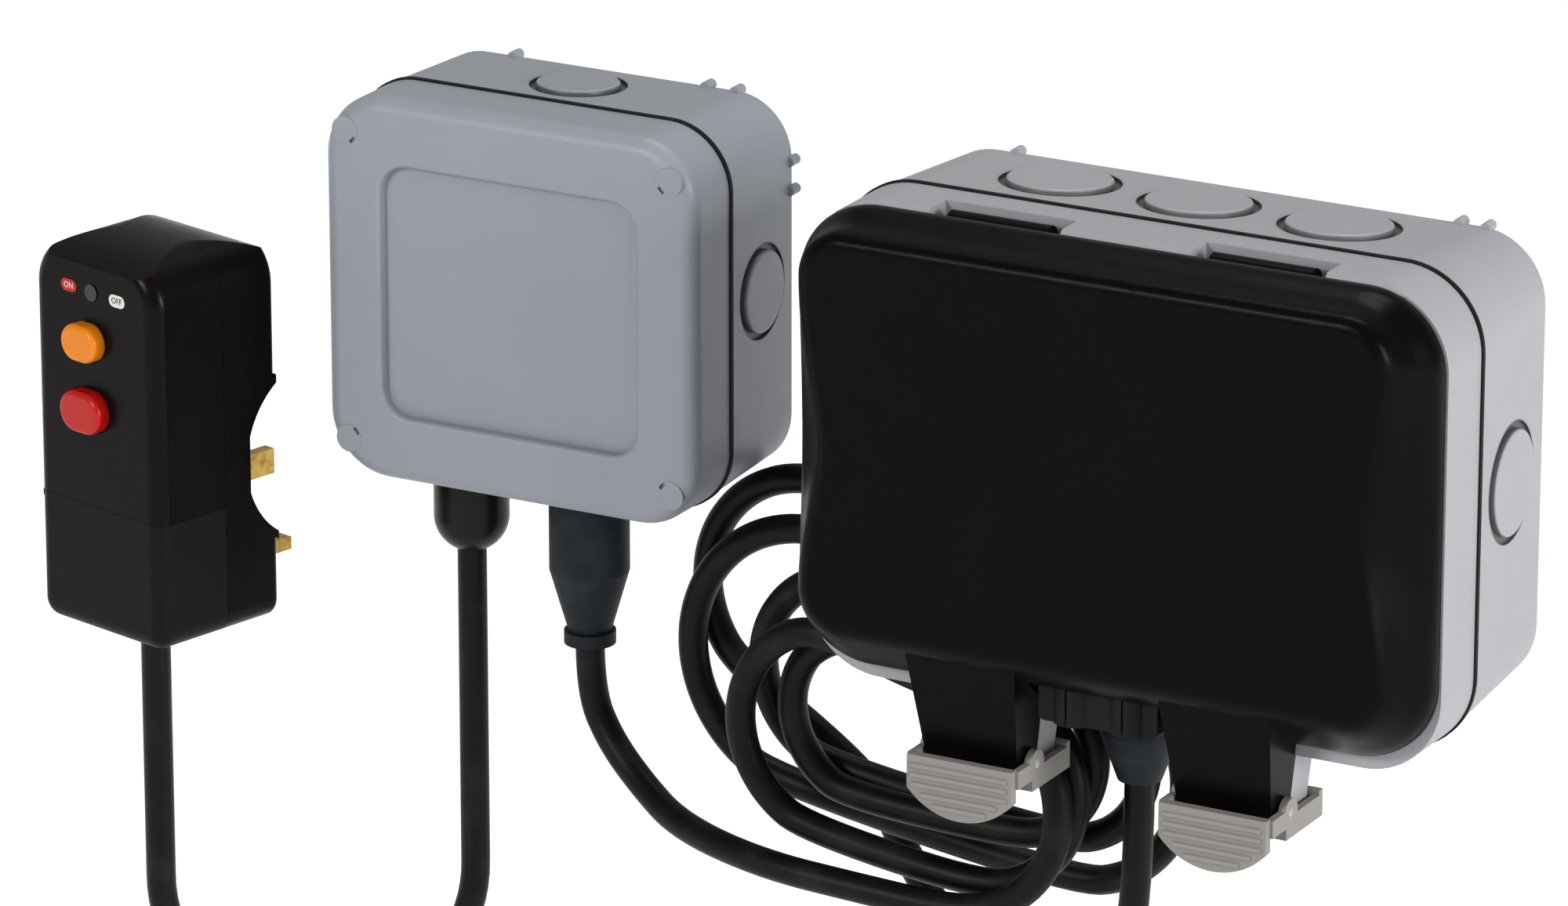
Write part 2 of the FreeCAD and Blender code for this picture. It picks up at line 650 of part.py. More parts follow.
def make_lid():
    outer = raw("lid_outer", lid_loft(0.0))
    hollow = raw("lid_hollow", lid_loft(size["lid_wall"]))
    legs = [wedge("lid_leg_%d" % i, "%d * leg_pitch / 2" % s, "leg_tip_level", "leg_root_level", "leg_tip_half",
                  "leg_root_half", ("frame_front + lid_gap", "leg_tip_front"),
                  ("frame_front + lid_gap", "leg_root_front")) for i, s in enumerate((-1, 1))]
    channels = [wedge("lid_channel_%d" % i, "%d * leg_pitch / 2" % s, "leg_tip_level - 1", "leg_root_level + 1",
                      "leg_tip_half - lid_wall", "leg_root_half - lid_wall",
                      ("frame_front - 1", "leg_tip_front - lid_wall"),
                      ("frame_front - 1", "leg_root_front - lid_wall")) for i, s in enumerate((-1, 1))]
    knuckles = []
    for i, s in enumerate((-1, 1)):
        ends = ("%d * hinge_pitch / 2 - knuckle_half" % s, "%d * hinge_pitch / 2 + knuckle_half" % s)
        knuckles.append(rod("knuckle_%d" % i, "x", "knuckle_radius", ends[0], ends[1], "-hinge_out", "hinge_level"))
        knuckles.append(block("knuckle_arm_%d" % i, ends, ("-frame_front - lid_gap - 8", "-hinge_out"),
                              ("hinge_level - 1.8", "twin_height / 2 - lid_margin - 1.6")))
    pin_holes = [rod("knuckle_hole_%d" % i, "x", "hinge_pin_radius + running_gap",
                     "%d * hinge_pitch / 2 - knuckle_half - 1" % s, "%d * hinge_pitch / 2 + knuckle_half + 1" % s,
                     "-hinge_out", "hinge_level") for i, s in enumerate((-1, 1))]
    latch_holes = [rod("leg_pin_hole_%d" % i, "x", "latch_pin_radius + seat_gap",
                       "%d * leg_pitch / 2 - leg_root_half - 2" % s, "%d * leg_pitch / 2 + leg_root_half + 2" % s,
                       "-latch_out", "latch_level") for i, s in enumerate((-1, 1))]
    bevels = []
    for i, s in enumerate((-1, 1)):
        below = "latch_level - leg_tip_level"
        local = block("leg_bevel_block_%d" % i, ("-leg_root_half", "leg_root_half"), ("-12", "1"),
                      ("-(%s) - 8" % below, "-(%s)" % below))
        bevel = group("leg_bevel_%d" % i, local)
        bevel.Placement = Placement(Vector(), Rotation(Vector(1, 0, 0), -size["latch_swing"]))
        bind(bevel, "Placement.Rotation.Angle", "-latch_swing * 1 deg")
        bind_base(bevel, "%d * leg_pitch / 2" % s, "-latch_out", "latch_level")
        bevels.append(bevel)
    cord_way = block("cord_way", ("-21", "21"), ("-lid_front + 7", "-frame_front + 1"),
                     ("-twin_height / 2 - 1", "lid_crease_bottom - 3"))
    shell = minus("lid_shell", join("lid_solid", outer, *legs), hollow, *(channels + [cord_way]))
    whole = join("lid_with_knuckles", shell, *knuckles)
    keep(minus("lid_drilled", whole, *(pin_holes + latch_holes + bevels)), "lid")


def make_hinge_pins():
    pins = [rod("hinge_pin_%d" % i, "x", "hinge_pin_radius", "%d * hinge_pitch / 2 - hinge_pocket_half - 1.9" % s,
                "%d * hinge_pitch / 2 + hinge_pocket_half + 1.9" % s, "-hinge_out", "hinge_level")
            for i, s in enumerate((-1, 1))]
    keep(group("hinge_pin_pair", *pins), "hinge_pins")


def make_latch_pins():
    reach = "leg_tip_half + latch_side_gap + latch_cheek"
    pins = [rod("latch_pin_%d" % i, "x", "latch_pin_radius", "%d * leg_pitch / 2 - (%s)" % (s, reach),
                "%d * leg_pitch / 2 + %s" % (s, reach), "-latch_out", "latch_level")
            for i, s in enumerate((-1, 1))]
    keep(group("latch_pin_pair", *pins), "latch_pins")


def make_lid_seal():
    body = new_body("lid_seal_body")
    outer = rounded_rectangle(body, "lid_seal_outer", "frame_front", "twin_width - 22", "twin_height - 18",
                              "twin_corner - 10")
    pad(body, outer, "1.8", True)
    inner = rounded_rectangle(body, "lid_seal_inner", "frame_front", "twin_width - 28", "twin_height - 24",
                              "twin_corner - 13")
    pocket(body, inner, "3", True)
    hinge_gaps = [block("seal_gap_%d" % i, ("%d * hinge_pitch / 2 - hinge_pocket_half - 2" % s,
                                            "%d * hinge_pitch / 2 + hinge_pocket_half + 2" % s),
                        ("-frame_front - 4", "-frame_front + 1"), ("hinge_level - 11", "twin_height / 2"))
                  for i, s in enumerate((-1, 1))]
    leg_gaps = [block("seal_leg_gap_%d" % i, ("%d * leg_pitch / 2 - leg_root_half - 1" % s,
                                              "%d * leg_pitch / 2 + leg_root_half + 1" % s),
                      ("-frame_front - 4", "-frame_front + 1"), ("-twin_height / 2", "-twin_height / 2 + 14"))
                for i, s in enumerate((-1, 1))]
    cord_gap = block("seal_cord_gap", ("-23", "23"), ("-frame_front - 4", "-frame_front + 1"),
                     ("-twin_height / 2", "-twin_height / 2 + 14"))
    keep(minus("lid_seal_cut", body, cord_gap, *(hinge_gaps + leg_gaps)), "lid_seal")


def make_cord_seal():
    bar = rounded_box("cord_bar", ("-19", "19"), ("-frame_front - 12.5", "-frame_front"),
                      ("-twin_height / 2 + 1.5", "lid_crease_bottom - 4"), 2.0)
    lobes = [rod("cord_lobe_%d" % i, "z", "6.5", "-twin_height / 2 + 1.5", "lid_crease_bottom - 3.6",
                 "%d * 9" % s, "-frame_front - 8.6") for i, s in enumerate((-1, 1))]
    slits = [block("cord_slit_%d" % i, ("%d * 9 - 0.3" % s, "%d * 9 + 0.3" % s),
                   ("-frame_front - 16", "-frame_front - 5"), ("-twin_height / 2", "lid_crease_bottom"))
             for i, s in enumerate((-1, 1))]
    keep(minus("cord_seal_slit", join("cord_seal_whole", bar, *lobes), *slits), "cord_seal")


def make_latch(side, sign):
    """A ridged paddle, two cheeks on the leg's pin, and a hook that closes behind the frame's leg."""
    mid = "%d * leg_pitch / 2" % sign
    name = "latch_" + side
    half, back, top = size["paddle_half"], size["paddle_back"], size["paddle_top"]
    low_side = top - size["paddle_side"]
    low_mid = top - size["paddle_drop"]
    x_mid = sign * size["leg_pitch"] / 2

    def at(x, z):
        return Vector(x_mid + x, -back, z)

    outline = Part.Wire([
        Part.LineSegment(at(-half, top), at(half, top)).toShape(),
        Part.LineSegment(at(half, top), at(half, low_side)).toShape(),
        Part.Arc(at(half, low_side), at(0, low_mid), at(-half, low_side)).toShape(),
        Part.LineSegment(at(-half, low_side), at(-half, top)).toShape(),
    ])
    paddle = raw(name + "_paddle", Part.Face(outline).extrude(Vector(0, -size["paddle_thick"], 0)))
    front = size["paddle_back"] + size["paddle_thick"]
    ridges = []
    for i in range(5):
        level = top - 3.2 - 2.9 * i
        reach = half - 1.6 if i < 3 else half - 1.6 - 3.4 * (i - 2)
        ridge = Part.makeCylinder(0.9, 2 * reach, Vector(x_mid - reach, -front, level), Vector(1, 0, 0))
        ridges.append(raw("%s_ridge_%d" % (name, i), ridge))
    cheeks = []
    for i, s in enumerate((-1, 1)):
        near = "%s + %d * (leg_tip_half + latch_side_gap)" % (mid, s)
        far = "%s + %d * (leg_tip_half + latch_side_gap + latch_cheek)" % (mid, s)
        span = (near, far) if s > 0 else (far, near)
        cheeks.append(rod("%s_boss_%d" % (name, i), "x", "latch_boss_radius", span[0], span[1], "-latch_out",
                          "latch_level"))
        cheeks.append(block("%s_cheek_%d" % (name, i), span, ("-paddle_back - 0.5", "-latch_out"),
                            ("latch_level - latch_boss_radius", "latch_level + 1.2")))
        cheeks.append(block("%s_arm_%d" % (name, i), span, ("-latch_out - 3", "-frame_leg_back + latch_play"),
                            ("leg_tip_level - part_gap - latch_sill", "latch_level - 1")))
    wide = "leg_tip_half + latch_side_gap + latch_cheek"
    sill = block(name + "_sill", ("%s - (%s)" % (mid, wide), "%s + %s" % (mid, wide)),
                 ("-latch_out - 3", "-frame_leg_back + latch_play + latch_cheek"),
                 ("leg_tip_level - part_gap - latch_sill", "leg_tip_level - part_gap"))
    hook = block(name + "_hook", ("%s - (%s)" % (mid, wide), "%s + %s" % (mid, wide)),
                 ("-frame_leg_back + latch_play", "-frame_leg_back + latch_play + latch_cheek"),
                 ("leg_tip_level - part_gap - 1", "leg_tip_level + latch_hook_rise"))
    web = block(name + "_web", ("%s - 6" % mid, "%s + 6" % mid), ("-paddle_back - 0.5", "-latch_out - 2.5"),
                ("leg_tip_level - part_gap - latch_sill", "leg_tip_level - part_gap"))
    hole = rod(name + "_hole", "x", "latch_pin_radius + running_gap", "%s - 20" % mid, "%s + 20" % mid,
               "-latch_out", "latch_level")
    whole = join(name + "_whole", paddle, sill, hook, web, *(ridges + cheeks))
    keep(minus(name + "_drilled", whole, hole), name)


# Socket plate, rockers, shutters and contacts

OUTLETS = [("left", -1), ("right", 1)]


def slots(name, low_out, high_out, gap, only=None):
    """The three pin ways of each outlet as blocks."""
    found = []
    for side, s in OUTLETS:
        mid = "%d * outlet_pitch / 2" % s
        ways = {
            "earth": (mid, "outlet_level + pin_rise / 2", "earth_pin_wide", "earth_pin_tall"),
            "live": (mid + " + pin_half_pitch", "outlet_level - pin_rise / 2", "line_pin_wide", "line_pin_tall"),
            "neutral": (mid + " - pin_half_pitch", "outlet_level - pin_rise / 2", "line_pin_wide", "line_pin_tall"),
        }
        for kind, (x, z, wide, tall) in ways.items():
            if only and kind not in only:
                continue
            found.append(block("%s_%s_%s" % (name, side, kind),
                               ("%s - %s / 2 - (%s)" % (x, wide, gap), "%s + %s / 2 + (%s)" % (x, wide, gap)),
                               ("-(%s)" % high_out, "-(%s)" % low_out),
                               ("%s - %s / 2 - (%s)" % (z, tall, gap), "%s + %s / 2 + (%s)" % (z, tall, gap))))
    return found


ROCKER_OUT = "frame_front - 2.5"
ROCKER_PIVOT = "plate_level + rocker_level"


def make_socket_plate():
    front = "frame_front + 0.8"
    plate = rounded_box("plate_slab", ("-plate_width / 2", "plate_width / 2"),
                        ("-(%s)" % front, "-(%s) + plate_thick" % front),
                        ("plate_level - plate_height / 2", "plate_level + plate_height / 2"), 5.0)
    soft = soften("plate_soft", plate, 1.2, lambda edge: face_edge(edge, 1, -size["frame_front"] - 0.8))
    holes = slots("plate_slot", "%s - plate_thick - 1" % front, "%s + 1" % front, "slot_gap")
    bays = [block("rocker_bay_%d" % i,
                  ("%d * (outlet_pitch / 2 - rocker_across) - rocker_width / 2 - part_gap" % s,
                   "%d * (outlet_pitch / 2 - rocker_across) + rocker_width / 2 + part_gap" % s),
                  ("-frame_front - 3", "-frame_front + plate_thick"),
                  ("plate_level + rocker_level - rocker_height / 2 - part_gap",
                   "plate_level + rocker_level + rocker_height / 2 + part_gap")) for i, (_, s) in enumerate(OUTLETS)]
    screws = [rod("plate_screw_way_%d" % i, "y", "screw_radius + seat_gap", "-frame_front - 2",
                  "-frame_front + plate_thick", "%d * plate_screw_half_pitch" % s, "plate_level")
              for i, s in enumerate((-1, 1))]
    sinks = [rod("plate_screw_sink_%d" % i, "y", "screw_head_radius + seat_gap", "-frame_front - 2",
                 "-frame_front + 1.7", "%d * plate_screw_half_pitch" % s, "plate_level") for i, s in enumerate((-1, 1))]
    pivots = []
    for i, (_, s) in enumerate(OUTLETS):
        x = "%d * (outlet_pitch / 2 - rocker_across)" % s
        reach = "rocker_width / 2 + rocker_pin_reach + 0.2"
        pivots.append(rod("rocker_pivot_%d" % i, "x", "rocker_pin_radius + running_gap", "%s - (%s)" % (x, reach),
                          "%s + %s" % (x, reach), "-(%s)" % ROCKER_OUT, ROCKER_PIVOT))
    keep(minus("plate_cut", soft, *(holes + bays + screws + sinks + pivots)), "socket_plate")


def make_rockers():
    for side, s in OUTLETS:
        x = "%d * (outlet_pitch / 2 - rocker_across)" % s
        cap = rounded_box("rocker_%s_cap" % side, ("%s - rocker_width / 2" % x, "%s + rocker_width / 2" % x),
                          ("-(%s) - 6.2" % ROCKER_OUT, "-(%s) + 2" % ROCKER_OUT),
                          ("%s - rocker_height / 2 + 1.4" % ROCKER_PIVOT, "%s + rocker_height / 2 - 1.4" % ROCKER_PIVOT),
                          1.5)
        dish = rod("rocker_%s_dish" % side, "x", "34", "%s - rocker_width" % x, "%s + rocker_width" % x,
                   "-(%s) - 6.2 - 32.6" % ROCKER_OUT, ROCKER_PIVOT)
        reach = "rocker_width / 2 + rocker_pin_reach"
        pin = rod("rocker_%s_pin" % side, "x", "rocker_pin_radius", "%s - (%s)" % (x, reach), "%s + %s" % (x, reach),
                  "-(%s)" % ROCKER_OUT, ROCKER_PIVOT)
        keep(join("rocker_%s_whole" % side, minus("rocker_%s_shaped" % side, cap, dish), pin), "rocker_" + side)


def make_socket_housing():
    box = rounded_box("housing_block", ("-plate_width / 2 + 6", "plate_width / 2 - 6"),
                      ("-frame_front - 0.8 + plate_thick + 0.02", "-housing_back"),
                      ("plate_level - plate_height / 2 + 8", "plate_level + plate_height / 2 - 8"), 3.0)
    ways = slots("housing_way", "housing_back + 1.5", "frame_front + 1", "contact_wall + part_gap + 1.0")
    lanes = [block("shutter_lane_%s" % side,
                   ("%d * outlet_pitch / 2 - 17.3" % s, "%d * outlet_pitch / 2 + 17.3" % s),
                   ("-frame_front - 0.8 + plate_thick", "-frame_front - 0.8 + plate_thick + 2.9"),
                   ("outlet_level - pin_rise / 2 - 4.3 - shutter_travel", "outlet_level - pin_rise / 2 + 9.3"))
             for side, s in OUTLETS]
    rocker_wells = [block("rocker_well_%s" % side,
                          ("%d * (outlet_pitch / 2 - rocker_across) - rocker_width / 2 - 1" % s,
                           "%d * (outlet_pitch / 2 - rocker_across) + rocker_width / 2 + 1" % s),
                          ("-frame_front", "-frame_front + 12"),
                          ("%s - rocker_height / 2 - 1" % ROCKER_PIVOT, "plate_level + plate_height / 2"))
                    for side, s in OUTLETS]
    screws = [rod("housing_screw_way_%d" % i, "y", "screw_radius + seat_gap", "-frame_front", "-housing_back + 1",
                  "%d * plate_screw_half_pitch" % s, "plate_level") for i, s in enumerate((-1, 1))]
    keep(minus("housing_cut", box, *(ways + lanes + rocker_wells + screws)), "socket_housing")


def make_shutters():
    for side, s in OUTLETS:
        mid = "%d * outlet_pitch / 2" % s
        plate = block("shutter_%s_plate" % side, ("%s - 17" % mid, "%s + 17" % mid),
                      ("-frame_front - 0.8 + plate_thick + part_gap", "-frame_front - 0.8 + plate_thick + part_gap + 2"),
                      ("outlet_level - pin_rise / 2 - 4", "outlet_level - pin_rise / 2 + 9"))
        notch = block("shutter_%s_notch" % side, ("%s - 4" % mid, "%s + 4" % mid), ("-frame_front - 3", "-housing_back"),
                      ("outlet_level - pin_rise / 2 + 2", "outlet_level - pin_rise / 2 + 12"))
        keep(minus("shutter_%s_cut" % side, plate, notch), "shutter_" + side)


def make_contacts():
    high = "housing_back + 3 + contact_length"
    for kind in ("live", "neutral", "earth"):
        outer = slots(kind + "_sleeve", "housing_back + 1.5", high, "contact_wall + 0.9", [kind])
        inner = slots(kind + "_bore", "housing_back + 3", high + " + 1", "0.9", [kind])
        sleeves = [minus("%s_clip_%d" % (kind, i), o, n) for i, (o, n) in enumerate(zip(outer, inner))]
        keep(group(kind + "_contact_pair", *sleeves), kind + "_contacts")


def screw(name, head_out, length, x, z, head_radius="screw_head_radius"):
    """A pan head screw along y whose head lies in front."""
    shank = rod(name + "_shank", "y", "screw_radius", "-(%s) + 1.5" % head_out, "-(%s) + %s" % (head_out, length), x, z)
    head = rod(name + "_head", "y", head_radius, "-(%s)" % head_out, "-(%s) + 1.6" % head_out, x, z)
    slot_one = block(name + "_slot_a", ("%s - 2.2" % x, "%s + 2.2" % x),
                     ("-(%s) - 0.1" % head_out, "-(%s) + 0.9" % head_out), ("%s - 0.45" % z, "%s + 0.45" % z))
    slot_two = block(name + "_slot_b", ("%s - 0.45" % x, "%s + 0.45" % x),
                     ("-(%s) - 0.1" % head_out, "-(%s) + 0.9" % head_out), ("%s - 2.2" % z, "%s + 2.2" % z))
    return minus(name, join(name + "_whole", shank, head), slot_one, slot_two)


def make_socket_screws():
    plate = [screw("plate_screw_%d" % i, "frame_front + 0.4", "24", "%d * plate_screw_half_pitch" % s, "plate_level")
             for i, s in enumerate((-1, 1))]
    keep(group("plate_screw_pair", *plate), "plate_screws")
    frame = [screw("frame_screw_%d" % i, "frame_front - 0.6", "42", x, z)
             for i, (x, z) in enumerate(four(*TWIN_BOSS))]
    keep(group("frame_screw_set", *frame), "frame_screws")


# Glands and boots


def locknut(name, x, out, level):
    ring = rod(name + "_ring", "z", "boot_radius", "%s + seat_gap" % level, "%s + 4" % level, x, out)
    bore = rod(name + "_bore", "z", "gland_stem_radius + seat_gap", "%s - 1" % level, "%s + 5" % level, x, out)
    return minus(name, ring, bore)


def make_boot(label, x, out, wall_level, shoulder, tip, collar, unit=None):
    """A strain relief boot: threaded stem through the wall, shoulder, cone and, with a collar, a ring."""
    stem = rod(label + "_stem", "z", "gland_stem_radius", "%s - 1" % wall_level, "%s + 13" % wall_level, x, out)
    body = rod(label + "_shoulder", "z", "boot_radius", shoulder, "%s - seat_gap" % wall_level, x, out)
    taper = cone(label + "_cone", "boot_tip_radius", "boot_radius", tip, shoulder, x, out)
    parts = [stem, body, taper]
    low = tip
    if collar:
        parts.append(rod(label + "_collar", "z", "boot_tip_radius + 1.3", "%s - boot_collar" % tip, tip, x, out))
        low = "%s - boot_collar" % tip
    bore = rod(label + "_bore", "z", "cable_radius - 1.2", "%s - 1" % low, "%s + 14" % wall_level, x, out)
    keep(minus(label + "_bored", join(label + "_whole", *parts), bore), label, unit)


TWIN_SEAT = ("-twin_height / 2 + 5.2", "-twin_height / 2 + 0.1")


def make_twin_gland():
    make_boot("socket_boot", "twin_gland_across", "-twin_gland_out", TWIN_SEAT[1],
              "-twin_height / 2 - twin_boot_shoulder", "-twin_height / 2 - twin_boot_long", False)
    nut = locknut("socket_nut", "twin_gland_across", "-twin_gland_out", TWIN_SEAT[0])
    keep(nut, "socket_locknut")


JB_SEAT = ("-jb_height / 2 + 4.4", "-jb_height / 2 + 0.1")


def make_jb_glands():
    make_boot("jb_boot", "jb_gland_right", "-jb_gland_out", JB_SEAT[1], "-jb_height / 2 - jb_boot_shoulder",
              "-jb_height / 2 - jb_boot_long", True, "junction box")
    x, out = "jb_gland_left", "-jb_gland_out"
    stem = rod("dome_stem", "z", "gland_stem_radius", "%s - 1" % JB_SEAT[1], "%s + 13" % JB_SEAT[1], x, out)
    body = rod("dome_body", "z", "dome_radius", "-jb_height / 2 - dome_long", JB_SEAT[1] + " - seat_gap", x, out)
    cap = doc.addObject("Part::Sphere", "dome_cap")
    bind(cap, "Radius", "dome_radius")
    bind_base(cap, x, out, "-jb_height / 2 - dome_long")
    bore = rod("dome_bore", "z", "cable_radius + cable_bore_gap", "-jb_height / 2 - dome_long - dome_radius", "-jb_height / 2 - dome_long - dome_mouth", x, out)
    throat = rod("dome_throat", "z", "cable_radius - 1.2", "-jb_height / 2 - dome_long - dome_radius", "%s + 14" % JB_SEAT[1], x, out)
    keep(minus("dome_bored", join("dome_whole", stem, body, cap), bore, throat), "jb_gland_dome", "junction box")
    nuts = [locknut("jb_nut_%d" % i, gx, out, JB_SEAT[0])
            for i, gx in enumerate(("jb_gland_left", "jb_gland_right"))]
    keep(group("jb_nut_pair", *nuts), "jb_locknuts", "junction box")


# Junction box

JB_BOSS = ("jb_cap_across", "jb_cap_up")


def make_jb_box():
    knocks = [
        knock_out("jb_top", "top", "jb_draft", "jb_height", "jb_box_front", "jb_box_front / 2 + 1", "0",
                  "jb_knock_groove", "jb_knock_disc"),
        knock_out("jb_right", "right", "jb_draft", "jb_width", "jb_box_front", "jb_box_front / 2 + 1", "4",
                  "jb_knock_groove", "jb_knock_disc"),
        knock_out("jb_left", "left", "jb_draft", "jb_width", "jb_box_front", "jb_box_front / 2 + 1", "4",
                  "jb_knock_groove", "jb_knock_disc"),
    ]
    holed = wall_box("jb_wall_box", "jb_width", "jb_height", "jb_corner", "jb_box_front", "jb_draft",
                     ("jb_fixing_across / 2", "jb_fixing_up / 2"), [ring for ring, _ in knocks], JB_BOSS,
                     "screw_radius + 1.7", [(gx, "-jb_gland_out") for gx in ("jb_gland_left", "jb_gland_right")], JB_SEAT)
    marks = pegs("jb_peg", [("33", "jb_height / 2 - 1.5"), ("43", "jb_height / 2 - 1.6"),
                            ("jb_width / 2 - 1.6", "39"), ("jb_width / 2 - 1.5", "30"),
                            ("-33", "jb_height / 2 - 1.5")], "peg_radius", "-foot_height - 2")
    keep(join("jb_box_whole", holed, *([disc for _, disc in knocks] + marks)), "jb_box", "junction box")


def make_jb_cover():
    body = new_body("jb_cover_body")
    back = "jb_box_front + seal_thick"
    outer = rounded_rectangle(body, "jb_cover_outer", back, "jb_width", "jb_height", "jb_corner")
    pad(body, outer, "jb_front - jb_box_front - seal_thick", True)
    doc.recompute()
    front_edges = ["Edge%d" % i for i, e in enumerate(body.Shape.Edges, 1) if face_edge(e, 1, -size["jb_front"])]
    slab = body.Tip
    edge_round = body.newObject("PartDesign::Fillet", "jb_cover_round")
    edge_round.Base = (slab, front_edges)
    bind(edge_round, "Radius", "jb_edge_round")
    inner = rounded_rectangle(body, "jb_cover_inner", back, "jb_width - 2 * shell_wall", "jb_height - 2 * shell_wall",
                              "jb_corner - shell_wall")
    pocket(body, inner, "jb_front - jb_box_front - seal_thick - jb_panel_deep - shell_wall", True)
    panel = rounded_rectangle(body, "jb_cover_panel", "jb_front", "jb_panel_width", "jb_panel_height",
                              "jb_panel_corner")
    pocket(body, panel, "jb_panel_deep", False)
    bosses = circles(body, "jb_cover_bosses", back, "screw_radius + 2.4", four(*JB_BOSS))
    pad(body, bosses, "jb_front - jb_box_front - seal_thick - 5", True)
    screws = circles(body, "jb_cover_screw_holes", back, "screw_radius + seat_gap", four(*JB_BOSS))
    pocket(body, screws, "40", True)
    wells = circles(body, "jb_cover_cap_wells", "jb_front", "jb_cap_radius + seat_gap", four(*JB_BOSS))
    pocket(body, wells, "4.5", False)
    doc.recompute()
    inner_edges = ["Edge%d" % i for i, e in enumerate(body.Shape.Edges, 1)
                   if face_edge(e, 1, -size["jb_front"]) and abs(e.CenterOfMass.x) < size["jb_panel_width"] / 2 + 1
                   and abs(e.CenterOfMass.z) < size["jb_panel_height"] / 2 + 1]
    sunk = body.Tip
    panel_round = body.newObject("PartDesign::Fillet", "jb_panel_round")
    panel_round.Base = (sunk, inner_edges)
    panel_round.Radius = 1.4
    keep(body, "jb_cover", "junction box")


def make_jb_screws():
    caps = []
    for i, (sx, sz) in enumerate(SIGNS):
        x, z = "%d * jb_cap_across" % sx, "%d * jb_cap_up" % sz
        disc = rod("cap_disc_%d" % i, "y", "jb_cap_radius", "-jb_front - 0.2", "-jb_front + 2.2", x, z)
        turn = Rotation(Vector(0, 1, 0), 45)
        notch = doc.addObject("Part::Box", "cap_notch_%d" % i)
        notch.Length, notch.Width, notch.Height = 2.4, 2.0, 2.4
        corner = turn.multVec(Vector(1.2, 0, 1.2))
        notch.Placement = Placement(Vector(), turn)
        bind_base(notch, "%d * (jb_cap_across - jb_cap_radius * 0.72) - (%.6f)" % (sx, corner.x), "-jb_front - 1",
                  "%d * (jb_cap_up - jb_cap_radius * 0.72) - (%.6f)" % (sz, corner.z))
        caps.append(minus("cap_%d" % i, disc, notch))
    keep(group("cap_set", *caps), "jb_screw_caps", "junction box")
    screws = [screw("jb_screw_%d" % i, "jb_front - 2.7", "34", x, z) for i, (x, z) in enumerate(four(*JB_BOSS))]
    keep(group("jb_screw_set", *screws), "jb_cover_screws", "junction box")


def make_terminals():
    strip = rounded_box("terminal_bar", ("-36", "36"), ("-foot_height - shell_wall - 17", "-foot_height - shell_wall"),
                        ("-12", "12"), 1.5)
    bores, screws, brasses, wells = [], [], [], []
    for i in range(5):
        x = "%d * 13.5" % (i - 2)
        bores.append(block("terminal_bore_%d" % i, ("%s - 3.6" % x, "%s + 3.6" % x),
                           ("-foot_height - shell_wall - 11", "-foot_height - shell_wall - 3"), ("-13", "13")))
        sleeve = block("terminal_sleeve_%d" % i, ("%s - 3.3" % x, "%s + 3.3" % x),
                       ("-foot_height - shell_wall - 10.98", "-foot_height - shell_wall - 3.02"), ("-10", "10"))
        hollow = rod("terminal_hollow_%d" % i, "z", "2.3", "-11", "11", x, "-foot_height - shell_wall - 7")
        brasses.append(minus("terminal_brass_%d" % i, sleeve, hollow))
        for j, z in enumerate(("-5.5", "5.5")):
            wells.append(rod("terminal_well_%d_%d" % (i, j), "y", "2.3", "-foot_height - shell_wall - 18",
                             "-foot_height - shell_wall - 10", x, z))
            shank = rod("terminal_screw_%d_%d" % (i, j), "y", "2.1", "-foot_height - shell_wall - 15.5",
                        "-foot_height - shell_wall - 11.05", x, z)
            slot = block("terminal_slot_%d_%d" % (i, j), ("%s - 2.5" % x, "%s + 2.5" % x),
                         ("-foot_height - shell_wall - 16", "-foot_height - shell_wall - 14.7"),
                         ("%s - 0.4" % z, "%s + 0.4" % z))
            screws.append(minus("terminal_screw_cut_%d_%d" % (i, j), shank, slot))
    keep(minus("terminal_block_cut", strip, *(bores + wells)), "terminal_block", "junction box")
    keep(group("terminal_brass_set", *brasses), "terminal_sleeves", "junction box")
    keep(group("terminal_screw_set", *screws), "terminal_screws", "junction box")


# Plug with residual current protection

PLUG_HALF = "plug_width / 2"
PLUG_LOW = "-plug_height / 2"


def plug_form(name, back, front, grow):
    """The plug's outline along y: crowned top corners and small bottom ones, offset inward by -grow."""
    tall = block(name + "_tall", ("-(%s) - (%s)" % (PLUG_HALF, grow), "%s + %s" % (PLUG_HALF, grow)),
                 ("-(%s)" % front, "-(%s)" % back),
                 ("%s - (%s)" % (PLUG_LOW, grow), "plug_height / 2 + %s" % grow))
    inset = {"0": 0.0, "-plug_wall": -size["plug_wall"]}[grow]
    crown = soften(name + "_crown", tall, size["plug_crown"] + inset,
                   lambda edge: along(edge, 1) and edge.CenterOfMass.z > 0)
    return soften(name + "_chin", crown, size["plug_chin"] + inset,
                  lambda edge: along(edge, 1) and edge.CenterOfMass.z < 0)


def crown_cut(name, inset="0"):
    """A wide cylinder through x whose inside rounds the plug's top from front to back."""
    big = rod(name + "_round", "x", "58 - %s" % inset, "-60", "60", "-(plug_front - plug_back) / 2",
              "plug_height / 2 - 58")
    stay = block(name + "_stay", ("-60", "60"), ("-100", "100"), ("-100", "plug_height / 2 - 12"))
    return join(name, big, stay)


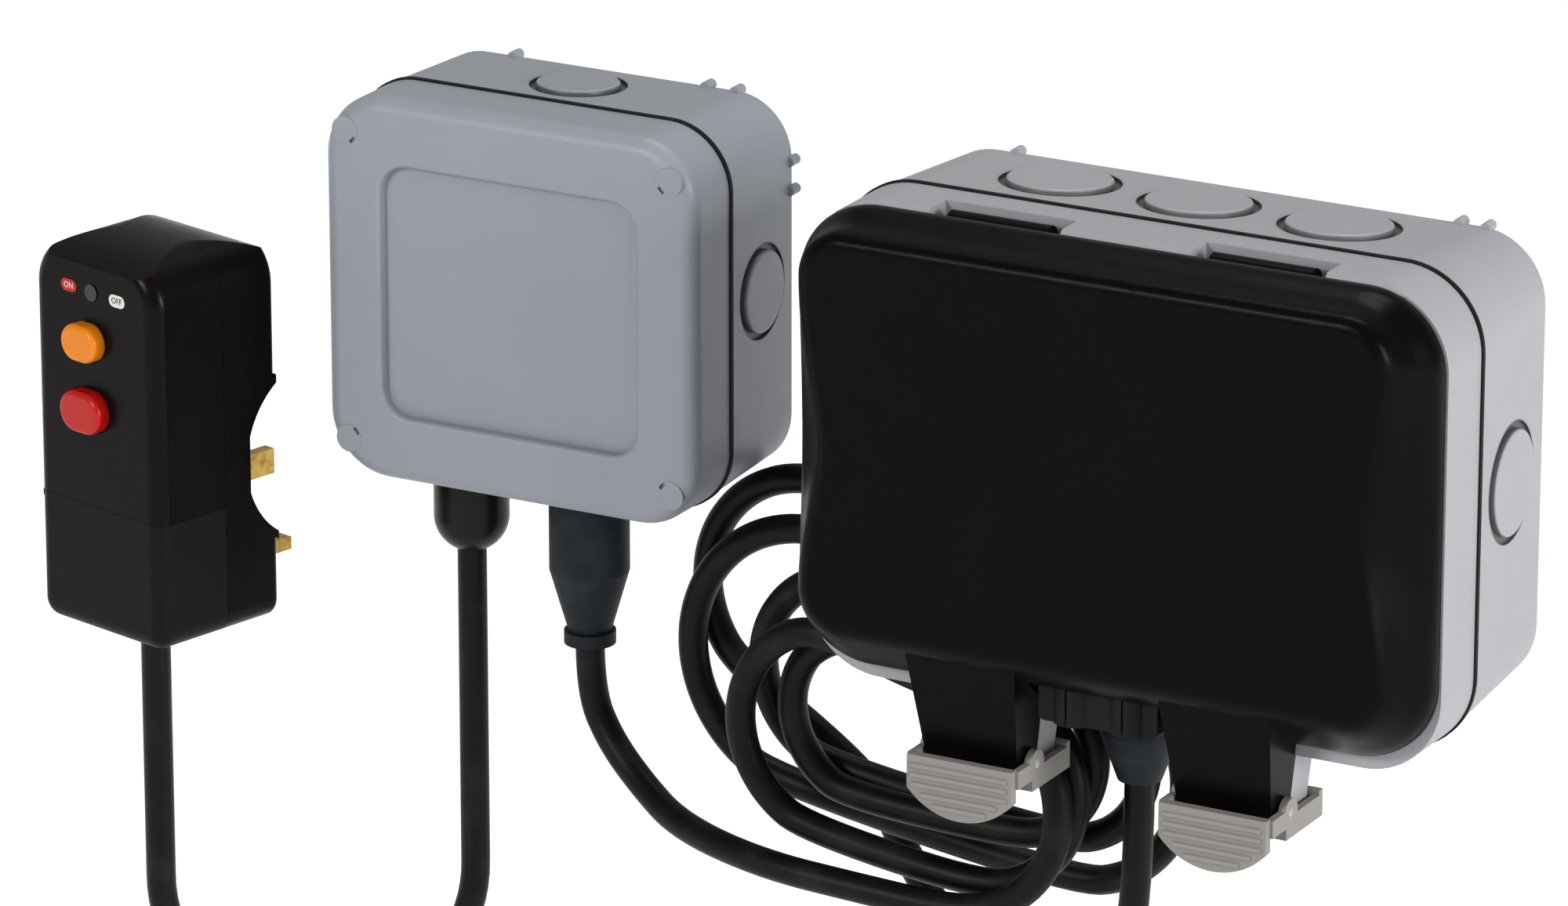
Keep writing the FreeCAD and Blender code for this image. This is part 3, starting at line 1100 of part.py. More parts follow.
def make_plug_cases():
    seam = "plug_seam"
    rough = plug_form("front_case_form", seam, "plug_front", "0")
    soft = soften("front_case_soft", rough, size["plug_edge"], lambda edge: face_edge(edge, 1, -size["plug_front"]))
    domed = both("front_case_domed", soft, crown_cut("front_crown"))
    hollow = both("front_case_hollow",
                  plug_form("front_case_hollow_form", "%s - 1" % seam, "plug_front - plug_wall", "-plug_wall"),
                  crown_cut("front_hollow_crown", "plug_wall"))
    above = block("front_case_above", ("-60", "60"), ("-80", "40"), ("plug_cover_top", "100"))
    below = block("cover_below", ("-60", "60"), ("-80", "40"), ("-100", "plug_cover_top - 0.15"))
    reset = oval("reset_way", "reset_level", "reset_wide", "reset_tall", "part_gap", "plug_front - 5", "plug_front + 1")
    test = oval("test_way", "test_level", "test_wide", "test_tall", "part_gap", "plug_front - 5", "plug_front + 1")
    lens = rod("lens_way", "y", "lens_radius + seat_gap", "-plug_front - 1", "-plug_front + 6", "button_across + 2.4",
               "lens_level")
    shell = minus("front_case_shell", domed, hollow)
    bosses = [rod("case_boss_%d" % i, "y", "screw_radius + 2", "-plug_front + 1", "-(%s)" % seam, x, z)
              for i, (x, z) in enumerate((("-plug_width / 2 + 7", "plug_height / 2 - 20"),
                                          ("plug_width / 2 - 7", "plug_height / 2 - 20")))]
    top = both("front_case_top", join("front_case_bossed", shell, *bosses), above)
    keep(minus("front_case_cut", top, reset, test, lens, *case_screw_holes("front")), "plug_front_case", "plug")
    cover_shell = minus("cover_shell", both("cover_part", soft_copy("cover_form"), below),
                        plug_form("cover_hollow", "%s - 1" % seam, "plug_front - plug_wall", "-plug_wall"))
    lip = block("cover_lip", ("-plug_width / 2 + 1", "plug_width / 2 - 1"), ("-plug_front + 1.5", "-plug_front + 24"),
                ("plug_cover_top - 2.2", "plug_cover_top - 0.15"))
    lip_hollow = block("cover_lip_hollow", ("-plug_width / 2 + 5", "plug_width / 2 - 5"),
                       ("-plug_front + 5", "-plug_front + 30"), ("plug_cover_top - 4", "plug_cover_top + 1"))
    cable_way = rod("cover_cable_way", "z", "7.52", "-plug_height / 2 - 5", "-plug_height / 2 + 8", "0",
                    "-plug_cable_out")
    keep(minus("cover_cut", join("cover_whole", cover_shell, lip), lip_hollow, cable_way), "plug_terminal_cover",
         "plug")


def soft_copy(name):
    rough = plug_form(name, "plug_seam", "plug_front", "0")
    return soften(name + "_soft", rough, size["plug_edge"], lambda edge: face_edge(edge, 1, -size["plug_front"]))


def oval(name, level, wide, tall, gap, low_out, high_out):
    """An upright-ended oval prism along y: a block with round ends."""
    radius = "(%s) / 2 + (%s)" % (tall, gap)
    reach = "((%s) - (%s)) / 2" % (wide, tall)
    bar = block(name + "_bar", ("button_across - %s" % reach, "button_across + %s" % reach),
                ("-(%s)" % high_out, "-(%s)" % low_out), ("%s - (%s)" % (level, radius), "%s + %s" % (level, radius)))
    ends = [rod("%s_end_%d" % (name, i), "y", radius, "-(%s)" % high_out, "-(%s)" % low_out,
                "button_across + %d * %s" % (s, reach), level) for i, s in enumerate((-1, 1))]
    return join(name, bar, *ends)


CASE_SCREWS = [("-plug_width / 2 + 7", "plug_height / 2 - 20"), ("plug_width / 2 - 7", "plug_height / 2 - 20")]


def case_screw_holes(name):
    return [rod("%s_case_screw_way_%d" % (name, i), "y", "screw_radius + seat_gap", "-plug_front + 6", "10", x, z)
            for i, (x, z) in enumerate(CASE_SCREWS)]


def make_rear_case():
    rough = plug_form("rear_case_form", "-plug_back", "plug_seam - 0.15", "0")
    soft = soften("rear_case_soft", rough, 2.5, lambda edge: face_edge(edge, 1, size["plug_back"]))
    domed = both("rear_case_domed", soft, crown_cut("rear_crown"))
    hollow = both("rear_case_hollow", plug_form("rear_case_hollow_form", "9", "plug_seam + 1", "-plug_wall"),
                  crown_cut("rear_hollow_crown", "plug_wall"))
    core = block("rear_core", ("-plug_width / 2 + scallop_deep + 1", "plug_width / 2 - scallop_deep - 1"),
                 ("-9", "plug_back"), ("-54", "22"))
    side_cuts = [rod("scallop_%d" % i, "x", "scallop_radius", low, high, "scallop_out", "scallop_level")
                 for i, (low, high) in enumerate((("-plug_width", "-plug_width / 2 + scallop_deep"),
                                                  ("plug_width / 2 - scallop_deep", "plug_width")))]
    liners = [both("scallop_liner_%d" % i,
                   rod("scallop_skin_%d" % i, "x", "scallop_radius + plug_wall", low, high, "scallop_out", "scallop_level"),
                   plug_form("scallop_bound_%d" % i, "-plug_back", "plug_seam - 0.15", "0"))
              for i, (low, high) in enumerate((("-plug_width", "-plug_width / 2 + scallop_deep + plug_wall"),
                                               ("plug_width / 2 - scallop_deep - plug_wall", "plug_width")))]
    pin_ways = plug_pins("rear_way", "seat_gap", "-11", "plug_back + 1")
    cable_way = rod("rear_cable_way", "z", "7.52", "-plug_height / 2 - 5", "-plug_height / 2 + 8", "0",
                    "-plug_cable_out")
    grip_posts = [rod("grip_post_%d" % i, "y", "2.3", "-plug_cable_out - 4.5", "-8.5", "%d * 7.6" % sx,
                      "-plug_height / 2 + 16") for i, sx in enumerate((1, -1))]
    screw_ways = case_screw_holes("rear")
    heads = [rod("rear_screw_sink_%d" % i, "y", "screw_head_radius + seat_gap", "plug_back - 1.8", "plug_back + 2", x, z)
             for i, (x, z) in enumerate(CASE_SCREWS)]
    posts = [rod("rear_screw_post_%d" % i, "y", "screw_head_radius + 1.5", "-plug_seam + 0.15", "plug_back", x, z)
             for i, (x, z) in enumerate(CASE_SCREWS)]
    shell = join("rear_case_lined", minus("rear_case_shell", domed, hollow), core, *(liners + posts + grip_posts))
    cuts = side_cuts + list(pin_ways.values()) + screw_ways + heads + [cable_way]
    keep(minus("rear_case_cut", shell, *cuts), "plug_rear_case", "plug")


def plug_pins(name, gap, low, high):
    """The three pins as blocks from low to high along y; high may be a mapping for each pin."""
    tops = high if isinstance(high, dict) else {kind: high for kind in ("earth", "line", "neutral")}
    spots = {
        "earth": ("0", "earth_pin_level", "earth_pin_wide", "earth_pin_tall"),
        "line": ("pin_half_pitch", "earth_pin_level - pin_rise", "line_pin_wide", "line_pin_tall"),
        "neutral": ("-pin_half_pitch", "earth_pin_level - pin_rise", "line_pin_wide", "line_pin_tall"),
    }
    return {kind: block("%s_%s" % (name, kind), ("%s - %s / 2 - %s" % (x, wide, gap), "%s + %s / 2 + %s" % (x, wide, gap)),
                        (low, tops[kind]), ("%s - %s / 2 - %s" % (z, tall, gap), "%s + %s / 2 + %s" % (z, tall, gap)))
            for kind, (x, z, wide, tall) in spots.items()}


def make_pins():
    tips = {"earth": "plug_back + earth_pin_long", "line": "plug_back + line_pin_long",
            "neutral": "plug_back + line_pin_long"}
    blanks = plug_pins("pin", "0", "-10.5", tips)
    doc.recompute()
    for kind, blank in blanks.items():
        tip = blank.Shape.BoundBox.YMax
        bevel = doc.addObject("Part::Chamfer", kind + "_pin_bevel")
        bevel.Base = blank
        bevel.Edges = [(i, 0.9, 0.9) for i, e in enumerate(blank.Shape.Edges, 1) if face_edge(e, 1, tip)]
        keep(bevel, kind + "_pin", "plug")


def make_buttons():
    for kind in ("reset", "test"):
        level, wide, tall = kind + "_level", kind + "_wide", kind + "_tall"
        cap = oval(kind + "_cap", level, wide, tall, "0", "plug_front - 4.5", "plug_front + button_proud")
        whole = join(kind + "_button_form", cap,
                     rod(kind + "_stem", "y", "2", "-plug_front + 4", "-plug_front + 10", "button_across", level))
        doc.recompute()
        front = -(size["plug_front"] + size["button_proud"])
        soft = soften(kind + "_button_soft", whole, 1.6,
                      lambda edge: face_edge(edge, 1, front) and not along(edge, 2))
        keep(soft, kind + "_button", "plug")
        coil = Part.makeHelix(0.9, 4.5, 2.7)
        ring = Part.Wire([Part.Circle(Vector(2.7, 0, 0), Vector(0, 1, 0), 0.25).toShape()])
        spring = Part.Wire(coil).makePipeShell([ring], True, True)
        item = raw(kind + "_spring_wire", spring)
        spot = Placement(Vector(size["button_across"], -size["plug_front"] + 4.8, size[level]),
                         Rotation(Vector(1, 0, 0), -90))
        turn = Placement(Vector(size["plug_across"], size["plug_out"], size["plug_up"]),
                         Rotation(Vector(0, 0, 1), size["plug_turn"]))
        item.Placement = turn.multiply(spot)
        item.Label = kind + "_spring"
        PIECES.append(item)


def make_plug_inside():
    board = block("board_slab", ("-plug_width / 2 + 5", "plug_width / 2 - 5"), ("-plug_front + 12.2", "-plug_front + 13.8"),
                  ("-14", "50"))
    stem_ways = [rod("board_way_%d" % i, "y", "2.6", "-plug_front + 9", "-plug_front + 16", "button_across", level)
                 for i, level in enumerate(("reset_level", "test_level"))]
    screw_ways = [rod("board_screw_way_%d" % i, "y", "screw_radius + 2 + seat_gap", "-plug_front + 9", "-plug_front + 16", x, z)
                  for i, (x, z) in enumerate(CASE_SCREWS)]
    keep(minus("board_cut", board, *(stem_ways + screw_ways)), "plug_circuit_board", "plug")
    core_out = rod("toroid_outer", "y", "11", "-plug_front + 14.1", "-plug_front + 24", "8", "30")
    core_in = rod("toroid_inner", "y", "5.5", "-plug_front + 13", "-plug_front + 26", "8", "30")
    keep(minus("toroid_ring", core_out, core_in), "sensing_toroid", "plug")
    bobbin = rod("solenoid_bobbin", "z", "6", "2", "20", "-14", "-plug_front + 21")
    cheeks = [rod("solenoid_cheek_%d" % i, "z", "6.8", low, high, "-14", "-plug_front + 21")
              for i, (low, high) in enumerate((("1", "2.5"), ("19.5", "21")))]
    keep(join("solenoid_whole", bobbin, *cheeks), "trip_solenoid", "plug")
    carrier = block("carrier_bar", ("-7", "16"), ("-plug_front + 14.2", "-plug_front + 20"), ("2", "7"))
    finger = block("carrier_finger", ("button_across + 1", "button_across + 6"),
                   ("-plug_front + 16", "-plug_front + 18"), ("6", "12"))
    keep(join("carrier_whole", carrier, finger), "contact_carrier", "plug")
    flag = block("flag_plate", ("button_across - 2.4", "button_across + 7.2"), ("-plug_front + 5.3", "-plug_front + 6.3"),
                 ("lens_level - 9", "lens_level + 2.2"))
    keep(group("flag_only", flag), "status_flag", "plug")
    lens = rod("lens_rod", "y", "lens_radius", "-plug_front - 0.4", "-plug_front + 5", "button_across + 2.4", "lens_level")
    keep(group("lens_only", lens), "window_lens", "plug")
    fuse = rod("fuse_tube", "z", "3.1", "plug_cover_top - 33", "plug_cover_top - 7.6", "16", "-plug_front + 15")
    keep(group("fuse_only", fuse), "fuse_cartridge", "plug")
    clips = []
    for i, z in enumerate(("plug_cover_top - 32", "plug_cover_top - 14")):
        outer = block("fuse_clip_block_%d" % i, ("11", "21"), ("-plug_front + 11.5", "-9.02"), (z, "%s + 5.5" % z))
        bore = rod("fuse_clip_bore_%d" % i, "z", "3.12", "%s - 1" % z, "%s + 7" % z, "16", "-plug_front + 15")
        clips.append(minus("fuse_clip_%d" % i, outer, bore))
    keep(group("fuse_clip_pair", *clips), "fuse_clips", "plug")
    grip = rounded_box("grip_bar", ("-10.4", "10.4"), ("-plug_cable_out - 6.2", "-plug_cable_out - 4.52"),
                       ("-plug_height / 2 + 12", "-plug_height / 2 + 20"), 1.0)
    keep(grip, "cord_grip", "plug")
    screws = []
    for i, (x, z) in enumerate(CASE_SCREWS):
        shank = rod("case_screw_shank_%d" % i, "y", "screw_radius", "-plug_front + 7", "plug_back - 1.7", x, z)
        head = rod("case_screw_head_%d" % i, "y", "screw_head_radius", "plug_back - 1.75", "plug_back - 0.3", x, z)
        screws.append(join("case_screw_%d" % i, shank, head))
    keep(group("case_screw_pair", *screws), "plug_case_screws", "plug")
    collar = rod("grommet_collar", "z", "7.5", "-plug_height / 2 - 2.5", "-plug_height / 2 + 6", "0", "-plug_cable_out")
    bore = rod("grommet_bore", "z", "cable_radius - 1.2", "-plug_height / 2 - 6", "-plug_height / 2 + 9", "0",
               "-plug_cable_out")
    keep(minus("grommet", collar, bore), "plug_grommet", "plug")


# Cables


def corner_arc(into, corner, away):
    """The arc from into to away, tangent to both lines through the corner; and its radius."""
    setback = (corner - into).Length
    turn = (corner - into).getAngle(away - corner)
    if turn < 1e-6:
        return Part.LineSegment(into, away).toShape(), math.inf
    radius = setback / math.tan(turn / 2)
    bisector = (away - corner).normalize() + (into - corner).normalize()
    middle = corner + bisector.normalize() * (math.hypot(setback, radius) - radius)
    return Part.Arc(into, middle, away).toShape(), radius


def rounded_route(points):
    """Straight runs joined by tangent arcs, each as large as its two runs allow."""
    edges, radii = [], []
    here = points[0]
    for before, corner, after in zip(points, points[1:], points[2:]):
        first, second = corner - before, after - corner
        setback = 0.45 * min(first.Length, second.Length)
        into = corner - first.normalize() * setback
        away = corner + second.normalize() * setback
        arc, radius = corner_arc(into, corner, away)
        edges += [Part.LineSegment(here, into).toShape(), arc]
        radii.append(radius)
        here = away
    edges.append(Part.LineSegment(here, points[-1]).toShape())
    return edges, radii


def tube(path, radius, label):
    start = path.Edges[0]
    way = start.tangentAt(start.FirstParameter)
    ring = Part.Wire([Part.Circle(start.valueAt(start.FirstParameter), way, radius).toShape()])
    shape = path.makePipeShell([ring], True, False)
    ratio = shape.Volume / (math.pi * radius ** 2 * path.Length)
    print("%s: length %.1f mm, volume over section times length %.4f" % (label, path.Length, ratio))
    return shape


def cable(label, points):
    edges, radii = rounded_route(points)
    print("%s arc radii: %s" % (label, " ".join("%.0f" % r for r in radii)))
    item = raw(label + "_tube", tube(Part.Wire(edges), size["cable_radius"], label))
    keep(item, label)





def plug_point(x, y, z):
    """A point given in the plug's own frame, in the common frame."""
    turned = Rotation(Vector(0, 0, 1), size["plug_turn"]).multVec(Vector(x, y, z))
    return turned + Vector(size["plug_across"], size["plug_out"], size["plug_up"])


# The coil's turns, from the front one back: each goes round a circle at the right, bends the other
# way past the corner of the socket's box, and goes round a circle at the left. A circle is its
# centre's offset from the centre of that corner, across and up, and its radius
COIL_TURNS = [
    ((8.5, -72.5, 33.5), (-41, -64, 36)),
    ((11.5, -70, 31), (-33, -58.5, 28)),
    ((18.5, -62, 25), (-46.5, -53, 31)),
    ((30.5, -64.5, 25), (-57.5, -57, 42)),
    ((28.5, -72, 35), (-64.5, -39.5, 35)),
]
# Share of a turn's drift to the wall that is done where each of its three circles begins and ends
COIL_SHARES = [0.0, 0.24, 0.36, 0.46, 0.52, 0.82]


def on_circle(circle, heading):
    """The point of a circle where it runs at the heading; a negative radius turns clockwise."""
    x, z, radius = circle
    return x + radius * math.sin(heading), z - radius * math.cos(heading)


def coil_nodes():
    """Points and headings along the coil, seen from the front, and the turns done at some of them."""
    corner_x = size["coil_corner"] - size["twin_width"] / 2
    corner_z = size["coil_corner"] - size["twin_height"] / 2
    around = size["coil_corner"] + size["seal_proud"] + size["cable_radius"] + size["coil_clearance"]
    circles = []
    for turn in COIL_TURNS:
        right, left = [(corner_x + across, corner_z + up, radius) for across, up, radius in turn]
        circles += [right, (corner_x, corner_z, -around), left]
    heading = 0.0
    x, z = on_circle(circles[0], heading)
    nodes = [(x - size["coil_tail"], z, heading), (x, z, heading)]
    done = {1: 0.0}
    for number, circle in enumerate(circles):
        last = number + 1 == len(circles)
        leave = math.radians(-size["coil_leave"])
        if not last:
            across, rise = circles[number + 1][0] - circle[0], circles[number + 1][1] - circle[1]
            apart = math.hypot(across, rise)
            leave = math.atan2(rise, across) + math.asin((circle[2] - circles[number + 1][2]) / apart)
        turn = (leave - heading) % (2 * math.pi)
        if circle[2] < 0:
            turn -= 2 * math.pi
        pieces = math.ceil(abs(turn) / (math.pi / 2))
        nodes += [(*on_circle(circle, heading + turn * i / pieces), heading + turn * i / pieces)
                  for i in range(1, pieces + 1)]
        heading = leave
        lap, place = divmod(number, 3)
        done[len(nodes) - 1] = lap + COIL_SHARES[2 * place + 1]
        if not last:
            nodes.append((*on_circle(circles[number + 1], heading), heading))
            lap, place = divmod(number + 1, 3)
            done[len(nodes) - 1] = lap + COIL_SHARES[2 * place]
    x, z, heading = nodes[-1]
    tail = size["coil_tail"]
    nodes.append((x + tail * math.cos(heading), z + tail * math.sin(heading), heading))
    return nodes, done


def coil_runs(nodes):
    """How far along the coil each node lies, seen from the front."""
    runs = [0.0]
    for (x0, z0, h0), (x1, z1, h1) in zip(nodes, nodes[1:]):
        half_turn = ((h1 - h0 + math.pi) % (2 * math.pi) - math.pi) / 2
        chord = math.hypot(x1 - x0, z1 - z0)
        runs.append(runs[-1] + (chord * half_turn / math.sin(half_turn) if abs(half_turn) > 1e-9 else chord))
    return runs


def coil_depths(runs, done):
    """The turns done at every node, from those at some of them, as places in front of the wall."""
    marks = sorted(done)
    depths = []
    for node, run in enumerate(runs):
        after = max(1, min(len(marks) - 1, sum(mark < node for mark in marks)))
        low, high = marks[after - 1], marks[after]
        share = (run - runs[low]) / (runs[high] - runs[low])
        turns = done[low] + (done[high] - done[low]) * share
        depths.append(turns / len(COIL_TURNS) * (size["coil_front_out"] - size["coil_back_out"])
                      - size["coil_front_out"])
    return depths


def make_coil():
    """A loose coil, each turn a cable's width behind the last, as lines and pairs of arcs."""
    nodes, done = coil_nodes()
    runs = coil_runs(nodes)
    depths = coil_depths(runs, done)
    points = [Vector(x, depth, z) for (x, z, _), depth in zip(nodes, depths)]
    ways = []
    for n, (_, _, heading) in enumerate(nodes):
        before, after = max(n - 1, 0), min(n + 1, len(nodes) - 1)
        slope = (depths[after] - depths[before]) / (runs[after] - runs[before])
        ways.append(Vector(math.cos(heading), slope, math.sin(heading)).normalize())
    edges = []
    for start, way, end, end_way in zip(points, ways, points[1:], ways[1:]):
        span, both_ways, spread = end - start, way + end_way, 2 * (1 - way.dot(end_way))
        along_ways = span.dot(both_ways)
        if spread < 1e-9:
            reach = span.dot(span) / 2 / along_ways
        else:
            reach = (math.sqrt(along_ways ** 2 + spread * span.dot(span)) - along_ways) / spread
        first, second = start + way * reach, end - end_way * reach
        joint = (first + second) / 2
        edges += [corner_arc(start, first, joint)[0], corner_arc(joint, second, end)[0]]
    return edges


def coil_gap(edges):
    """The least gap between turns, measured on points a few millimetres apart along the path."""
    points = []
    run = 0.0
    for edge in edges:
        count = max(2, int(edge.Length / 3))
        for i in range(count):
            points.append((run + edge.Length * i / count, edge.valueAt(edge.getParameterByLength(edge.Length * i / count))))
        run += edge.Length
    diameter = 2 * size["cable_radius"]
    least = min((p - q).Length for i, (s, p) in enumerate(points) for t, q in points[i + 1:] if t - s > 6 * diameter)
    return least - diameter


def make_cables():
    coil_edges = make_coil()
    print("coil gap to itself %.2f mm" % coil_gap(coil_edges))
    keep(raw("coil_tube", tube(Part.Wire(coil_edges), size["cable_radius"], "cord_coil")), "cord_coil")
    start = coil_edges[0].valueAt(coil_edges[0].FirstParameter)
    start_way = coil_edges[0].tangentAt(coil_edges[0].FirstParameter)
    last = coil_edges[-1]
    end = last.valueAt(last.LastParameter)
    end_way = last.tangentAt(last.LastParameter)
    print("coil starts", start, start_way, "ends", end, end_way)
    boot = Vector(size["jb_across"] + size["jb_gland_right"], -size["jb_gland_out"],
                  size["jb_up"] - size["jb_height"] / 2 - size["jb_boot_long"] - size["boot_collar"])
    cable("cord_lead", [
        boot,
        boot + Vector(0, 0, -16),
        boot + Vector(6.4, -1.5, -31.8),
        boot + Vector(19.3, -6, -44.3),
        boot + Vector(39.7, -17, -52.5),
        start - start_way * 52 - Vector(0, 1, 1),
        start - start_way * 20,
        start,
    ])
    tip = Vector(size["twin_gland_across"], -size["twin_gland_out"], -size["twin_height"] / 2 - size["twin_boot_long"])
    cable("cord_drop", [
        end,
        end + end_way * 16.3,
        end + Vector(28.3, 0.6, -19.4),
        end + Vector(36.8, 0.3, -35.9),
        end + Vector(50.8, -2.4, -52.9),
        end + Vector(70.8, -7.9, -63.9),
        tip + Vector(-36, 16, -81.5),
        tip + Vector(-14, 7, -69.5),
        tip + Vector(0, 0, -48.5),
        tip,
    ])
    out = -size["plug_cable_out"]
    top = plug_point(0, out, -size["plug_height"] / 2 - 2.5)
    gland = Vector(size["jb_across"] + size["jb_gland_left"], -size["jb_gland_out"],
                   size["jb_up"] - size["jb_height"] / 2 - size["dome_long"] - size["dome_mouth"])
    way = Vector(gland.x - top.x, gland.y - top.y, 0)
    bend = Vector(top.x, top.y, gland.z - 123)
    drop = way.Length * 0.293
    cable("cord_supply", [
        top,
        bend,
        bend + way * 0.293 - Vector(0, 0, drop),
        bend + way * 0.707 - Vector(0, 0, drop),
        bend + way,
        gland,
    ])


def main():
    make_back_box()
    seal_ring("box_seal", "twin_width", "twin_height", "twin_corner", "twin_box_front", TWIN_BOSS)
    make_front_frame()
    make_lid()
    make_lid_seal()
    make_cord_seal()
    make_hinge_pins()
    make_latch_pins()
    make_latch("left", -1)
    make_latch("right", 1)
    make_socket_plate()
    make_rockers()
    make_socket_housing()
    make_shutters()
    make_contacts()
    make_socket_screws()
    make_twin_gland()
    make_jb_box()
    seal_ring("jb_seal", "jb_width", "jb_height", "jb_corner", "jb_box_front", JB_BOSS, "junction box")
    make_jb_cover()
    make_jb_screws()
    make_terminals()
    make_jb_glands()
    make_plug_cases()
    make_rear_case()
    make_pins()
    make_buttons()
    make_plug_inside()
    make_cables()
    doc.recompute()
    for item in doc.Objects:
        if "Invalid" in item.State or "Error" in item.State:
            raise ValueError("%s is %s" % (item.Name, item.State))
    os.makedirs("parts", exist_ok=True)
    for item in PIECES:
        shape = item.Shape
        if shape.isNull() or not shape.isValid() or not shape.Solids:
            raise ValueError("%s has no sound shape" % item.Label)
        print("%-22s solids %d volume %.0f" % (item.Label, len(shape.Solids), shape.Volume))
        shape.exportStep("parts/%s.step" % item.Label)
    print(len(PIECES), "pieces")


main()
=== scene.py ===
"""Looks of an outdoor power kit: protected plug, junction box, weatherproof double socket and cables."""
import math

import bmesh
import bpy
from mathutils import Matrix, Vector


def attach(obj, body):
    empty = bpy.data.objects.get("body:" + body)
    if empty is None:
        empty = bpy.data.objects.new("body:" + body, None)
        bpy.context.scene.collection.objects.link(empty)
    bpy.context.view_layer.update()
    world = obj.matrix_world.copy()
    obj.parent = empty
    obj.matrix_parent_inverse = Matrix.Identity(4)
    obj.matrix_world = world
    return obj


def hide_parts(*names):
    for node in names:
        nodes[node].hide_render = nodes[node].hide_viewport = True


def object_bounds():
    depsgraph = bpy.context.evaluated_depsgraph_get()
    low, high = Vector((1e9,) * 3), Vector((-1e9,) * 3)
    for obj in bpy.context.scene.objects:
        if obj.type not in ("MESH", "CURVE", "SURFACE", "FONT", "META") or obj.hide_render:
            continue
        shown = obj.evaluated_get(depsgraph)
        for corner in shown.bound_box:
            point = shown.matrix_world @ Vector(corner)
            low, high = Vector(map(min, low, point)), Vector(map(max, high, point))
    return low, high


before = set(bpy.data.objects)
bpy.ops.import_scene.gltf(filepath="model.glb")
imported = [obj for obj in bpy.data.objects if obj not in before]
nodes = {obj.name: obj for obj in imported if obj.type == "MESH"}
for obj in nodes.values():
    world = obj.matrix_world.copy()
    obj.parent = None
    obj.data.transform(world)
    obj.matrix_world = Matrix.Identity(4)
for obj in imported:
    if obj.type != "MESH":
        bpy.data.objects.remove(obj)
cad_low, cad_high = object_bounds()
MM = 0.001


# The camera stands where the photograph was taken from

CAMERA_LENS = 216
CAMERA_PLACE = (1.133, -2.334, 0.869)
CAMERA_PITCH, CAMERA_HEADING = 71.2, 28.8


def aim_camera():
    lens = bpy.data.cameras.new("camera")
    lens.lens = CAMERA_LENS
    lens.sensor_width = 36
    lens.clip_start = 0.1
    lens.clip_end = 50
    eye = bpy.data.objects.new("camera", lens)
    eye.location = CAMERA_PLACE
    eye.rotation_euler = (math.radians(CAMERA_PITCH), 0, math.radians(CAMERA_HEADING))
    bpy.context.scene.collection.objects.link(eye)
    bpy.context.scene.camera = eye


aim_camera()


# Cables

CABLE = 9 * MM


def cable(name, points):
    """A round cable along one smooth line that the points, in millimetres, pull into shape."""
    curve = bpy.data.curves.new(name, "CURVE")
    curve.dimensions = "3D"
    spline = curve.splines.new("NURBS")
    spline.points.add(len(points) - 1)
    for control, (x, y, z) in zip(spline.points, points):
        control.co = (x * MM, y * MM, z * MM, 1)
    spline.order_u = 3
    spline.use_endpoint_u = True
    spline.resolution_u = 8
    curve.bevel_depth = CABLE / 2
    curve.bevel_resolution = 7
    curve.use_fill_caps = True
    item = bpy.data.objects.new(name, curve)
    bpy.context.scene.collection.objects.link(item)
    return item


SUPPLY_ROUTE = [
    (-243.5, -26, -74),
    (-243.5, -26, -157),
    (-243.5, -26, -197),
    (-266.21, -42.75, -225.22),
    (-298.3, -66.43, -225.22),
    (-321.01, -83.18, -197),
    (-321.01, -83.18, -157),
    (-321.01, -83.18, -95.7),
]

LEAD_ROUTE = [
    (-202.5, -26, -98.5),
    (-202.5, -26, -114.5),
    (-195, -27.5, -128),
    (-181.5, -32, -138.5),
    (-162, -43, -145),
    (-127, -56, -146),
    (-95, -56, -147.5),
]

DROP_ROUTE = [
    (-126, -6.7, -127),
    (-112.5, -6.5, -139.5),
    (-104, -6.8, -156),
    (-90, -9.5, -173),
    (-70, -15, -184),
    (-47, -22, -185),
    (-25, -31, -173),
    (-11, -38, -152),
    (-11, -38, -103.5),
]

# The loose turns of the coil, from the front one back: a lobe at the right and one at the left,
# each its centre across and up, and its radius, then the heading at which the left lobe begins
TURNS = [
    ((-63, -114.5, 34.5), (-105, -104, 34), 200),
    ((-60, -112, 32), (-98.5, -101, 28), 223),
    ((-53, -104, 26), (-110, -93, 32), 188),
    ((-41, -106.5, 26), (-129, -95, 43), 165),
    ((-43, -114, 36), (-134.5, -78, 38), 150),
]
LOBE_RIGHT = (0, 30, 60, 90, 120, 150)
LOBE_STEP, LOBE_END = 23, 338
UNDER_BOX = (-79, -79.5)
BOX_CORNER = (-101, -73)
COIL_FRONT, COIL_BACK = -55.2, -5.6

# The share of a turn's way back that is done at each lobe's start and end and at the box
RIGHT_END, UNDER_BOX_AT, BOX_CORNER_AT, LEFT_START, LEFT_END = 0.28, 0.37, 0.46, 0.56, 0.84


def around(lobe, heading):
    """The place on a lobe at a heading, counted from its lowest point."""
    x, z, radius = lobe
    turn = math.radians(heading)
    return (x + radius * math.sin(turn), z - radius * math.cos(turn))


